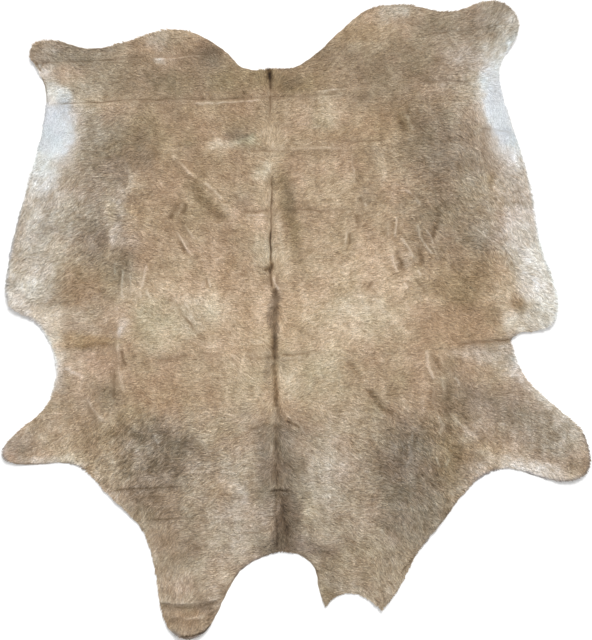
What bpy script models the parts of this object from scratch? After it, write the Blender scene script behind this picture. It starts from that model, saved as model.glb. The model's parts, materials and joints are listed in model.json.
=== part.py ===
"""A hair-on cattle hide, tanned, trimmed and spread flesh side down as a rug.

The hide is one piece of leather, so it is one solid: a thin sheet with the trimmed outline of
the animal's skin. It lies flat, apart from the low ridges left where it was folded for
packing, a few soft swellings, and places on its edge that have curled up off the floor.

Metres, +Z up. +Y points to the rump and -Y to the neck, and the hair side faces up. The origin
is on the floor, under the middle of the hide.
"""

import math
from collections import namedtuple

import bmesh
import bpy
from mathutils import Vector
from mathutils.geometry import delaunay_2d_cdt

# Driving sizes
THICKNESS = 0.004  # 2 mm of leather under 2 mm of hair that lies down
EDGE_STEP = 0.016  # between the points along the outline
FOLD_STEP = 0.028  # between the points along a fold
FIELD_STEP = 0.058  # between the points of the flat areas
POINT_GAP = 0.010  # no point inside the outline is nearer than this to another
FIELD_GAP = 0.024  # and none of the flat areas' points is nearer than this
MERGE_GAP = 1e-6

# A fold fades out over this share of its length at each end.
FOLD_FADE = 0.2

# The hair side's colour and finish
COAT_COLOUR = (0.41, 0.32, 0.23, 1.0)
COAT_ROUGHNESS = 0.72
SHARP_EDGE = math.radians(40)

# The outline, clockwise from the tail as seen from above. A smooth curve runs through the
# stations of all the stretches, and is broken after a stretch that ends in a corner.
SMOOTH, CORNER = "smooth", "corner"
Stretch = namedtuple("Stretch", "name stations end")
OUTLINE = (
    Stretch("tail and right rump", (
        (-0.090, 0.837), (0.000, 0.847), (0.080, 0.903), (0.133, 0.952), (0.183, 0.998),
        (0.240, 1.037), (0.313, 1.052), (0.387, 1.050), (0.480, 1.030), (0.533, 1.033),
    ), SMOOTH),
    Stretch("right hind shank", (
        (0.587, 1.050), (0.663, 1.064), (0.717, 1.038), (0.740, 0.990), (0.737, 0.947),
        (0.707, 0.893), (0.683, 0.847),
    ), SMOOTH),
    Stretch("right flank", (
        (0.680, 0.803), (0.710, 0.693), (0.753, 0.560), (0.787, 0.423), (0.820, 0.240),
    ), SMOOTH),
    Stretch("right belly", (
        (0.853, 0.147), (0.873, 0.053), (0.857, -0.013), (0.797, -0.037), (0.737, -0.047),
        (0.717, -0.070),
    ), CORNER),
    Stretch("right elbow", ((0.740, -0.143), (0.783, -0.213), (0.880, -0.297)), SMOOTH),
    Stretch("right fore shank", (
        (0.953, -0.367), (0.980, -0.443), (0.970, -0.507), (0.913, -0.538), (0.833, -0.532),
        (0.757, -0.507), (0.697, -0.497),
    ), SMOOTH),
    Stretch("right side of the neck", (
        (0.630, -0.517), (0.567, -0.568), (0.500, -0.663), (0.423, -0.750), (0.367, -0.853),
        (0.323, -0.925), (0.287, -0.965),
    ), CORNER),
    Stretch("scooped end of the right neck flap", (
        (0.233, -0.927), (0.173, -0.913), (0.123, -0.928), (0.099, -0.962),
    ), CORNER),
    Stretch("neck notch", (
        (0.077, -0.907), (0.058, -0.823), (0.013, -0.787), (-0.047, -0.773),
        (-0.110, -0.793), (-0.177, -0.833), (-0.220, -0.897),
    ), SMOOTH),
    Stretch("left neck flap", (
        (-0.260, -0.980), (-0.300, -1.040), (-0.360, -1.064), (-0.417, -1.033),
        (-0.450, -0.963),
    ), SMOOTH),
    Stretch("left side of the neck", (
        (-0.463, -0.873), (-0.483, -0.770), (-0.517, -0.690), (-0.633, -0.572),
        (-0.707, -0.497),
    ), SMOOTH),
    Stretch("left fore shank", (
        (-0.767, -0.478), (-0.853, -0.484), (-0.930, -0.483), (-0.973, -0.460),
        (-0.973, -0.422), (-0.920, -0.363), (-0.833, -0.288),
    ), SMOOTH),
    Stretch("left elbow", ((-0.800, -0.197), (-0.803, -0.123), (-0.840, -0.040)), SMOOTH),
    Stretch("left belly", (
        (-0.883, 0.005), (-0.943, 0.037), (-0.964, 0.087), (-0.955, 0.200),
    ), SMOOTH),
    Stretch("left flank", (
        (-0.932, 0.313), (-0.900, 0.427), (-0.872, 0.520), (-0.835, 0.710), (-0.838, 0.780),
    ), SMOOTH),
    Stretch("left hind shank", (
        (-0.865, 0.837), (-0.885, 0.880), (-0.867, 0.925), (-0.787, 0.930), (-0.680, 0.906),
    ), SMOOTH),
    Stretch("left rump", (
        (-0.560, 0.931), (-0.440, 0.967), (-0.337, 0.959), (-0.233, 0.898), (-0.173, 0.843),
    ), SMOOTH),
)

# A fold is a low ridge with a straight or slightly bent crest. height is the crest's, and foot
# is the distance from the crest to where the sheet is flat again.
Fold = namedtuple("Fold", "name crest height foot")
FOLDS = (
    Fold("spine", ((-0.090, 0.800), (-0.083, 0.400), (-0.070, 0.067), (-0.057, -0.367),
                   (-0.053, -0.740)), 0.0030, 0.016),
    Fold("rump fold, left", ((-0.840, 0.857), (-0.240, 0.875)), 0.0025, 0.012),
    Fold("rump fold, right", ((0.440, 0.955), (0.690, 0.973)), 0.0025, 0.012),
    Fold("first fold, left", ((-0.800, 0.711), (-0.487, 0.723), (-0.113, 0.740)), 0.0030, 0.014),
    Fold("first fold, right", ((-0.060, 0.743), (0.143, 0.758), (0.420, 0.785)), 0.0025, 0.014),
    Fold("second fold", ((-0.137, 0.560), (0.163, 0.573), (0.380, 0.600)), 0.0025, 0.014),
    Fold("third fold", ((-0.187, 0.350), (0.347, 0.370)), 0.0025, 0.014),
    Fold("middle fold, left", ((-0.487, -0.133), (-0.095, -0.120)), 0.0030, 0.014),
    Fold("middle fold, right", ((-0.030, -0.113), (0.447, -0.093), (0.700, -0.067)),
         0.0035, 0.014),
    Fold("belly fold, left", ((-0.790, -0.090), (-0.600, -0.082)), 0.0035, 0.018),
    Fold("shoulder fold", ((-0.620, -0.583), (-0.370, -0.557), (0.000, -0.570)), 0.0025, 0.014),
    Fold("neck fold", ((-0.490, -0.683), (-0.320, -0.667), (0.347, -0.647)), 0.0025, 0.014),
    Fold("neck flap fold", ((-0.440, -0.957), (-0.257, -0.937)), 0.0055, 0.018),
    Fold("back wrinkle, left", ((-0.427, 0.567), (-0.303, 0.433), (-0.170, 0.273)),
         0.0035, 0.020),
    Fold("rib wrinkle, left", ((-0.570, 0.167), (-0.560, -0.060)), 0.0030, 0.016),
    Fold("rib wrinkle, right", ((0.340, 0.500), (0.363, 0.267), (0.413, 0.100)), 0.0035, 0.018),
    Fold("shoulder wrinkle, right", ((0.163, -0.150), (0.253, -0.233), (0.340, -0.327)),
         0.0035, 0.020),
    Fold("elbow wrinkle, right", ((0.445, -0.150), (0.480, -0.333), (0.497, -0.433)),
         0.0035, 0.018),
)

# A rise is a soft dome, which is an edge's curl where its middle is on the outline.
Rise = namedtuple("Rise", "name middle reach height")
RISES = (
    Rise("tip of the left neck flap", (-0.352, -1.075), 0.150, 0.016),
    Rise("right neck point", (0.292, -0.972), 0.095, 0.008),
    Rise("inner neck point", (0.098, -0.970), 0.080, 0.006),
    Rise("right hind shank", (0.752, 0.960), 0.120, 0.012),
    Rise("left hind shank", (-0.897, 0.875), 0.110, 0.010),
    Rise("left belly point", (-0.972, 0.060), 0.150, 0.013),
    Rise("right belly point", (0.880, 0.005), 0.140, 0.012),
    Rise("right fore shank", (0.962, -0.540), 0.150, 0.012),
    Rise("left fore shank", (-0.985, -0.450), 0.120, 0.010),
    Rise("right belly notch", (0.722, -0.066), 0.085, 0.007),
    Rise("left flank", (-0.900, 0.455), 0.120, 0.008),
    Rise("right flank", (0.790, 0.430), 0.120, 0.008),
    Rise("left rump", (-0.430, 0.985), 0.120, 0.006),
    Rise("right rump", (0.330, 1.070), 0.120, 0.006),
    Rise("left side of the neck", (-0.600, -0.620), 0.110, 0.006),
    Rise("right side of the neck", (0.470, -0.710), 0.110, 0.006),
    Rise("left loin swelling", (-0.430, 0.130), 0.200, 0.004),
    Rise("right loin swelling", (0.200, 0.230), 0.210, 0.004),
    Rise("left shoulder swelling", (-0.430, -0.380), 0.190, 0.004),
    Rise("right shoulder swelling", (0.620, -0.290), 0.150, 0.004),
    Rise("rump swelling", (0.300, 0.880), 0.160, 0.004),
)


def curve_slope(before, at, after):
    """The slope of the outline's curve at a station, per metre of chord."""
    return (after - before) / ((at - before).length + (after - at).length)


def outline_loop():
    """Points along the whole edge, about EDGE_STEP apart, on a cubic curve between stations."""
    found = []
    for stretch in OUTLINE:
        last = len(stretch.stations) - 1
        for i, station in enumerate(stretch.stations):
            found.append((Vector(station), i == last and stretch.end == CORNER))
    points = []
    for i, (start, start_is_corner) in enumerate(found):
        before = found[i - 1][0]
        end, end_is_corner = found[(i + 1) % len(found)]
        after = found[(i + 2) % len(found)][0]
        chord = end - start
        leave = chord if start_is_corner else curve_slope(before, start, end) * chord.length
        arrive = chord if end_is_corner else curve_slope(start, end, after) * chord.length
        steps = max(1, round(chord.length / EDGE_STEP))
        for k in range(steps):
            t = k / steps
            points.append(
                start * (2 * t**3 - 3 * t**2 + 1)
                + leave * (t**3 - 2 * t**2 + t)
                + end * (3 * t**2 - 2 * t**3)
                + arrive * (t**3 - t**2)
            )
    return points


def is_inside(point, loop):
    """Whether a point is inside a closed loop, by counting the sides that lie to its right."""
    found = False
    for a, b in zip(loop, loop[1:] + loop[:1]):
        if (a.y > point.y) != (b.y > point.y):
            found ^= point.x < a.x + (b.x - a.x) * (point.y - a.y) / (b.y - a.y)
    return found


def nearest_on_path(point, path):
    """The distance from a point to a path, and how far along it that is, from 0 to 1."""
    lengths = [(b - a).length for a, b in zip(path, path[1:])]
    nearest, share, travelled = math.inf, 0.0, 0.0
    for a, b, length in zip(path, path[1:], lengths):
        t = max(0.0, min(1.0, (point - a).dot(b - a) / length**2))
        distance = (point - a.lerp(b, t)).length
        if distance < nearest:
            nearest, share = distance, (travelled + t * length) / sum(lengths)
        travelled += length
    return nearest, share


def fold_height(point, fold):
    """A fold's height at a point: a rounded ridge that fades out at both ends."""
    distance, share = nearest_on_path(point, [Vector(p) for p in fold.crest])
    if distance >= fold.foot:
        return 0.0
    across = (1 + math.cos(math.pi * distance / fold.foot)) / 2
    along = min(1.0, share / FOLD_FADE, (1 - share) / FOLD_FADE)
    return fold.height * across * along


def rise_height(point, rise):
    """A rise's height at a point: a dome that meets the flat sheet smoothly."""
    inward = 1 - (point - Vector(rise.middle)).length_squared / rise.reach**2
    return rise.height * inward**2 if inward > 0 else 0.0


def height_at(point):
    """How far the hide's underside is off the floor at a point."""
    return max(fold_height(point, f) for f in FOLDS) + sum(rise_height(point, r) for r in RISES)


def fold_lines(fold):
    """The rows of points that the mesh follows along a fold: its crest, then its two feet."""
    corners = [Vector(p) for p in fold.crest]
    crest = []
    for a, b in zip(corners, corners[1:]):
        steps = max(1, round((b - a).length / FOLD_STEP))
        crest += [a.lerp(b, k / steps) for k in range(steps)]
    crest.append(corners[-1])
    lines = [crest]
    for side in (-1, 1):
        foot = []
        for i, p in enumerate(crest):
            along = crest[min(i + 1, len(crest) - 1)] - crest[max(i - 1, 0)]
            foot.append(p + side * fold.foot * Vector((-along.y, along.x)).normalized())
        lines.append(foot)
    return lines


def field_points(loop):
    """A staggered grid of points over the outline's box."""
    low = Vector((min(p.x for p in loop), min(p.y for p in loop)))
    high = Vector((max(p.x for p in loop), max(p.y for p in loop)))
    row_step = FIELD_STEP * math.sqrt(3) / 2
    points = []
    for row in range(int((high.y - low.y) / row_step) + 1):
        indent = FIELD_STEP / 2 if row % 2 else 0.0
        for column in range(int((high.x - low.x) / FIELD_STEP) + 1):
            points.append(low + Vector((indent + column * FIELD_STEP, row * row_step)))
    return points


def add_spaced(points, candidates, gap, loop):
    """Adds the candidates that are inside the outline and at least a gap from every point."""
    for p in candidates:
        if all((p - q).length >= gap for q in points) and is_inside(p, loop):
            points.append(p)


def sheet_plan():
    """The sheet as seen from above: its points and its triangles, as flat tuples."""
    loop = outline_loop()
    points = list(loop)
    for fold in FOLDS:
        for line in fold_lines(fold):
            add_spaced(points, line, POINT_GAP, loop)
    add_spaced(points, field_points(loop), FIELD_GAP, loop)
    inside_only = 1
    outline_face = list(range(len(loop)))
    made = delaunay_2d_cdt(points, [], [outline_face], inside_only, MERGE_GAP)
    return made[0], made[2]


def coat_material():
    """A matt tan for the hair side."""
    material = bpy.data.materials.new("coat")
    material.use_nodes = True
    shader = material.node_tree.nodes["Principled BSDF"]
    shader.inputs["Base Color"].default_value = COAT_COLOUR
    shader.inputs["Roughness"].default_value = COAT_ROUGHNESS
    shader.inputs["Metallic"].default_value = 0.0
    return material


def build_hide():
    """The hide: its underside with its folds and rises, and the same surface above it."""
    plan, triangles = sheet_plan()
    middle_x = (min(p.x for p in plan) + max(p.x for p in plan)) / 2
    middle_y = (min(p.y for p in plan) + max(p.y for p in plan)) / 2
    sheet = bmesh.new()
    corners = [sheet.verts.new((p.x - middle_x, p.y - middle_y, height_at(p))) for p in plan]
    for triangle in triangles:
        sheet.faces.new([corners[i] for i in triangle])
    raised = bmesh.ops.extrude_face_region(sheet, geom=sheet.faces[:], use_keep_orig=True)
    hair_side = [part for part in raised["geom"] if isinstance(part, bmesh.types.BMVert)]
    bmesh.ops.translate(sheet, verts=hair_side, vec=(0.0, 0.0, THICKNESS))
    bmesh.ops.recalc_face_normals(sheet, faces=sheet.faces[:])
    mesh = bpy.data.meshes.new("hide")
    sheet.to_mesh(mesh)
    sheet.free()
    mesh.materials.append(coat_material())
    mesh.shade_smooth()
    mesh.set_sharp_from_angle(angle=SHARP_EDGE)
    bpy.context.scene.collection.objects.link(bpy.data.objects.new("hide", mesh))


def clear_scene():
    """Removes the objects that Blender starts with."""
    for obj in list(bpy.data.objects):
        bpy.data.objects.remove(obj)


clear_scene()
build_hide()
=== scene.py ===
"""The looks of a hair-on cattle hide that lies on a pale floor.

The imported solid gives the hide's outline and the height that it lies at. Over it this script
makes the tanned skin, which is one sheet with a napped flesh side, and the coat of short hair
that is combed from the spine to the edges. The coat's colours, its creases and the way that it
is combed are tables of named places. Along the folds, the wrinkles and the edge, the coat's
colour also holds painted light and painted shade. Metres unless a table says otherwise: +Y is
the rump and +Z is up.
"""

import json
import logging
import math
from collections.abc import Sequence
from dataclasses import dataclass, field
from enum import Enum

import bpy
import numpy as np
from mathutils import Matrix, Vector
from mathutils.bvhtree import BVHTree
from mathutils.geometry import delaunay_2d_cdt

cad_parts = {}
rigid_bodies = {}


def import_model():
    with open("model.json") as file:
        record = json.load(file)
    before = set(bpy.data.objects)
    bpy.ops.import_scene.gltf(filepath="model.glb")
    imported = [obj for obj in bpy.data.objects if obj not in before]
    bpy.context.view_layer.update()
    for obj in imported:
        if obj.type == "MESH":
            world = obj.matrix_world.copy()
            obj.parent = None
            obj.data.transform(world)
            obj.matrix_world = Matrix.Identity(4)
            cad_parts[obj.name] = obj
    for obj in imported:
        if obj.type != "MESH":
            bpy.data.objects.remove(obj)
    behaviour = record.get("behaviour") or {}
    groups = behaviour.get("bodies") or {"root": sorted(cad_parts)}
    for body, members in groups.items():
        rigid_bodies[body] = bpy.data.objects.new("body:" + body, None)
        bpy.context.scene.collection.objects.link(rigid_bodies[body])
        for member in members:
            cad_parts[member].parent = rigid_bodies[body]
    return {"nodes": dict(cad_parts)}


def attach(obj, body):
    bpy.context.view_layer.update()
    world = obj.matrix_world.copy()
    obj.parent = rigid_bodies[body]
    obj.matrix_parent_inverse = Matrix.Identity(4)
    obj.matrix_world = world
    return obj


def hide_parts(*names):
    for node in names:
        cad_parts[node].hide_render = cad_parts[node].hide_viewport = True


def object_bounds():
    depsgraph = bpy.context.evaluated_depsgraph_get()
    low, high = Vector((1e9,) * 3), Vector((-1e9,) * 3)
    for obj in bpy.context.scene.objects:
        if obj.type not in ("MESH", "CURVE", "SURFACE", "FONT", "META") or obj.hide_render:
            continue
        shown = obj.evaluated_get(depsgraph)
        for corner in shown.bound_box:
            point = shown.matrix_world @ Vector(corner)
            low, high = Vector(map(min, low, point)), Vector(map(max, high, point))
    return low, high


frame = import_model()
CAD_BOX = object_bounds()

log = logging.getLogger("hide")

MM = 0.001
WHOLE = 100  # the tables of creases and patches give shares in per cent

HIDE_NODE = "hide"
BODY = "root"

Point = tuple[float, float]
Span = tuple[float, float]
Colour = tuple[float, float, float]
Array = np.ndarray
Socket = bpy.types.NodeSocket
Inputs = dict[str | int, object]
Material = bpy.types.Material
Piece = bpy.types.Object


# ---------------- colours


class Fur(Enum):
    """The coat's colours, as sRGB from 0 to 255, and one dark grey for painted shadow."""

    TAN = (177, 153, 125)
    SAND = (206, 184, 155)
    CREAM = (209, 195, 171)
    OLIVE = (148, 127, 95)
    MOSS = (146, 128, 104)
    RUSSET = (161, 134, 102)
    ROSE = (190, 160, 136)
    LICHEN = (186, 174, 146)
    DUN = (168, 152, 131)
    HONEY = (170, 142, 106)
    GREY = (161, 148, 132)
    SLATE = (134, 120, 101)
    UMBER = (104, 88, 70)
    # painted shadow, for the rims where the edge turns up off the floor
    PAINTED_SHADOW = (92, 86, 84)
    SILVER = (203, 195, 184)
    IVORY = (221, 215, 205)
    FROST = (207, 212, 216)
    SNOW = (225, 230, 232)


# short names for the rows of PATCHES, in the order above
(TAN, SAND, CREAM, OLIVE, MOSS, RUSSET, ROSE, LICHEN, DUN, HONEY, GREY, SLATE, UMBER, PAINTED_SHADOW,
 SILVER, IVORY, FROST, SNOW) = Fur


def linear(colour: Array) -> Array:
    """Turns sRGB, from 0 to 255, into the linear values from 0 to 1 that shaders use."""
    share = np.clip(np.asarray(colour, float) / 255.0, 0.0, 1.0)
    return np.where(share <= 0.04045, share / 12.92, ((share + 0.055) / 1.055) ** 2.4)


def smooth_step(share: Array) -> Array:
    """Eases values from 0 to 1, and holds them at 0 and 1 outside."""
    share = np.clip(share, 0.0, 1.0)
    return share * share * (3.0 - 2.0 * share)


# ---------------- fields over the hide


@dataclass(frozen=True)
class Mottle:
    """Smooth random variation over the hide, the same each run.

    seed picks the pattern, size is the distance between its blotches in metres, and each
    further layer is finer and weaker.
    """

    seed: int
    size: float
    layers: int = 3

    LATTICE = 256
    FINER = 0.47
    WEAKER = 0.62
    SPREAD = 0.36  # of one layer, so that the sum spreads by about 1
    STREAK_SAMPLES = 5

    def at(self, places: Array) -> Array:
        """Reads the variation at places.

        Args:
            places: x and y, one row each.

        Returns:
            One value a row, about 0 on average, with a spread of about 1.
        """
        rng = np.random.default_rng(self.seed)
        total = np.zeros(len(places))
        size, weight, power = self.size, 1.0, 0.0
        for _ in range(self.layers):
            lattice = rng.uniform(-1.0, 1.0, (self.LATTICE, self.LATTICE))
            spot = places / size + rng.uniform(0.0, self.LATTICE, 2)
            cell = np.floor(spot).astype(int)
            across, up = smooth_step(spot - cell).T
            x, y = (cell % self.LATTICE).T
            x1, y1 = (x + 1) % self.LATTICE, (y + 1) % self.LATTICE
            low = lattice[x, y] * (1 - across) + lattice[x1, y] * across
            high = lattice[x, y1] * (1 - across) + lattice[x1, y1] * across
            total += weight * (low * (1 - up) + high * up)
            power += weight**2
            size, weight = size * self.FINER, weight * self.WEAKER
        return total / (self.SPREAD * math.sqrt(power))

    def combed(self, places: Array, heading: Array, reach: float) -> Array:
        """Reads the variation drawn out into streaks, which run along heading, reach each way."""
        steps = np.linspace(-reach, reach, self.STREAK_SAMPLES)
        return sum(self.at(places + step * heading) for step in steps) / math.sqrt(len(steps))


@dataclass
class GridField:
    """Values on a square grid over the hide, read between its points."""

    low: Array
    step: float
    values: Array

    SHORT_OF_END = 1.001  # grid steps, so that a place always has a next grid point

    def at(self, places: Array) -> Array:
        """Reads the field between its grid points.

        Args:
            places: x and y, one row each.

        Returns:
            One value a row.
        """
        spot = (places - self.low) / self.step
        top = np.array(self.values.shape) - self.SHORT_OF_END
        spot = np.clip(spot, 0.0, top)
        cell = spot.astype(int)
        fx, fy = (spot - cell).T
        x, y = cell.T
        v = self.values
        return (v[x, y] * (1 - fx) + v[x + 1, y] * fx) * (1 - fy) + (
            v[x, y + 1] * (1 - fx) + v[x + 1, y + 1] * fx
        ) * fy


def distance_along(places: Array, path: Sequence[Point]) -> tuple[Array, Array]:
    """Measures places against a path.

    Args:
        places: x and y, one row each.
        path: the path's corners.

    Returns:
        The signed distance, positive on the path's left, and the share of the path's length
        at the nearest point, from 0 to 1.
    """
    corners = np.array(path)
    lengths = np.linalg.norm(np.diff(corners, axis=0), axis=1)
    nearest = np.full(len(places), np.inf)
    signed, share, travelled = np.zeros(len(places)), np.zeros(len(places)), 0.0
    for start, end, length in zip(corners, corners[1:], lengths):
        along = (end - start) / length
        offset = places - start
        reached = np.clip(offset @ along, 0.0, length)
        distance = np.linalg.norm(offset - reached[:, None] * along, axis=1)
        side = along[0] * offset[:, 1] - along[1] * offset[:, 0]
        closer = distance < nearest
        nearest = np.where(closer, distance, nearest)
        signed = np.where(closer, np.copysign(distance, side), signed)
        share = np.where(closer, (travelled + reached) / lengths.sum(), share)
        travelled += length
    return signed, share


# ---------------- the form that the frame gives


@dataclass
class HideForm:
    """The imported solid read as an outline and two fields: its height and its depth from the edge."""

    grid_step: float = 0.006
    margin: float = 0.045
    smoothings: int = 2
    outline: Array = field(init=False)
    top: GridField = field(init=False)
    depth: GridField = field(init=False)

    SIDE_SLOPE = 0.5  # of a normal's height, under which its face is part of the rim
    SAME_POINT = 1e-5
    RAY_START = 0.1  # above the solid

    def __post_init__(self) -> None:
        """Reads the node once."""
        points, faces = self._solid()
        self.outline = self._outline(points, faces)
        low = self.outline.min(0) - self.margin
        count = np.ceil((self.outline.max(0) + self.margin - low) / self.grid_step).astype(int)
        x = low[0] + self.grid_step * np.arange(count[0] + 1)
        y = low[1] + self.grid_step * np.arange(count[1] + 1)
        places = np.stack(np.meshgrid(x, y, indexing="ij"), -1)
        shape = places.shape[:2]
        self.depth = GridField(low, self.grid_step, self._depths(places.reshape(-1, 2), shape))
        self.top = GridField(low, self.grid_step, self._heights(points, faces, places))

    def _solid(self) -> tuple[Array, Array]:
        """Reads the node's triangles, with the doubled points made one.

        Returns:
            The points, and three point numbers for each face.
        """
        mesh = frame["nodes"][HIDE_NODE].data
        mesh.calc_loop_triangles()
        points = np.empty(len(mesh.vertices) * 3)
        mesh.vertices.foreach_get("co", points)
        corners = np.empty(len(mesh.loop_triangles) * 3, int)
        mesh.loop_triangles.foreach_get("vertices", corners)
        keys = np.round(points.reshape(-1, 3) / self.SAME_POINT).astype(np.int64)
        _, first, index = np.unique(keys, axis=0, return_index=True, return_inverse=True)
        return points.reshape(-1, 3)[first], index.reshape(-1)[corners].reshape(-1, 3)

    def _outline(self, points: Array, faces: Array) -> Array:
        """Chains the edges where the underside meets the rim.

        Args:
            points: the solid's points.
            faces: three point numbers a row.

        Returns:
            The corners, x and y a row, anticlockwise from above.
        """
        a, b, c = points[faces].transpose(1, 0, 2)
        normal = np.cross(b - a, c - a)
        upward = normal[:, 2] / np.linalg.norm(normal, axis=1)
        following = {}
        rim_edges = set()
        for p, q, r in faces[np.abs(upward) < self.SIDE_SLOPE]:
            rim_edges |= {(p, q), (q, r), (r, p)}
        for p, q, r in faces[upward < -self.SIDE_SLOPE]:
            for start, end in ((p, q), (q, r), (r, p)):
                if (end, start) in rim_edges:
                    following[end] = start
        start = next(iter(following))
        loop, at = [start], following[start]
        while at != start:
            loop.append(at)
            at = following[at]
        return points[loop][:, :2]

    def _depths(self, places: Array, shape: tuple[int, int]) -> Array:
        """Measures how far each place is inside the outline.

        Args:
            places: x and y, one row each.
            shape: the grid's count of points each way.

        Returns:
            The distances in the grid's shape, negative outside.
        """
        nearest = np.full(len(places), np.inf)
        inside = np.zeros(len(places), bool)
        for start, end in zip(self.outline, np.roll(self.outline, -1, 0)):
            side = end - start
            offset = places - start
            share = np.clip(offset @ side / (side**2).sum(), 0.0, 1.0)
            nearest = np.minimum(nearest, ((offset - share[:, None] * side) ** 2).sum(1))
            if side[1]:
                spans = (start[1] > places[:, 1]) != (end[1] > places[:, 1])
                crossing = start[0] + side[0] * offset[:, 1] / side[1]
                inside ^= spans & (places[:, 0] < crossing)
        return (np.sqrt(nearest) * np.where(inside, 1.0, -1.0)).reshape(shape)

    def _heights(self, points: Array, faces: Array, places: Array) -> Array:
        """Finds the solid's top by rays from above, and carries it on past the edge.

        Args:
            points: the solid's points.
            faces: three point numbers a row.
            places: the grid's points.

        Returns:
            The heights in the grid's shape, with the solid's facets rounded off.
        """
        tree = BVHTree.FromPolygons(points.tolist(), faces.tolist())
        above, down = CAD_BOX[1][2] + self.RAY_START, Vector((0.0, 0.0, -1.0))
        heights = np.full(places.shape[:2], np.nan)
        for i, j in np.argwhere(self.depth.values > 0.0):
            hit = tree.ray_cast(Vector((*places[i, j], above)), down)[0]
            if hit is not None:
                heights[i, j] = hit.z
        heights = self._carried_on(heights)
        for _ in range(self.smoothings):
            heights = self._neighbours(heights).mean(0)
        return heights

    @staticmethod
    def _neighbours(values: Array) -> Array:
        """Stacks a field with its eight neighbours.

        Args:
            values: the field.

        Returns:
            Nine layers of the field's shape, its edge repeated.
        """
        wide = np.pad(values, 1, mode="edge")
        rows, columns = values.shape
        return np.stack(
            [wide[i : i + rows, j : j + columns] for i in range(3) for j in range(3)]
        )

    def _carried_on(self, heights: Array) -> Array:
        """Fills the grid's points outside the hide from the nearest that have a height.

        Args:
            heights: the field, with nan where there is no height.

        Returns:
            The field without nan.
        """
        while np.isnan(heights).any():
            around = self._neighbours(heights)
            known = ~np.isnan(around)
            total = np.where(known, around, 0.0).sum(0)
            grown = total / np.maximum(known.sum(0), 1)
            heights = np.where(np.isnan(heights) & known.any(0), grown, heights)
        return heights


# ---------------- creases


@dataclass(frozen=True)
class Crease:
    """A crease or wrinkle: a narrow ridge or trough, and the painted light and shade on its hair.

    name says where it is. path, rise and width are in millimetres. rise is its height, negative
    for a trough, and width is from its middle to where it has mostly gone. shade is how much
    lighter its hair's colour is made than the rest, and lit how much lighter on its left side than
    on its right, in per cent. On the folds, the wrinkles and the rolled edges, shade below 0 is
    painted shade in the crease, shade above 0 painted light on its crest, and lit painted light on
    the side that faces the light.
    """

    name: str
    path: tuple[Point, ...]
    rise: float
    width: float
    shade: float
    lit: float = 0
    fade: float = 16  # per cent of its length, at each end
    uneven: float = 30

    REACH = 2.6  # widths from its middle, past which nothing of it is left
    PRESSED = 8.0  # how far past its width the hair is pressed

    def near(self, places: Array) -> Array:
        """Picks the places that the crease may reach.

        Args:
            places: x and y in millimetres, one row each.

        Returns:
            The numbers of their rows.
        """
        corners = np.array(self.path)
        reach = self.REACH * self.width + self.PRESSED
        above = (places >= corners.min(0) - reach).all(1)
        return np.flatnonzero(above & (places <= corners.max(0) + reach).all(1))

    def profile(self, places: Array) -> tuple[Array, Array, Array]:
        """Measures the crease at places.

        Args:
            places: x and y in millimetres, one row each, near the crease.

        Returns:
            How much of the crease is there, from 0 to 1, how far to its left, as a share of
            its width, and how far it presses the hair, from 0 to 1.
        """
        signed, share = distance_along(places, self.path)
        across = signed / self.width
        ends = smooth_step(np.minimum(share, 1.0 - share) / (self.fade / WHOLE))
        pressed = np.exp(-((signed / (self.width + self.PRESSED)) ** 2)) * ends
        return np.exp(-(across**2)) * ends, across, pressed


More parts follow.
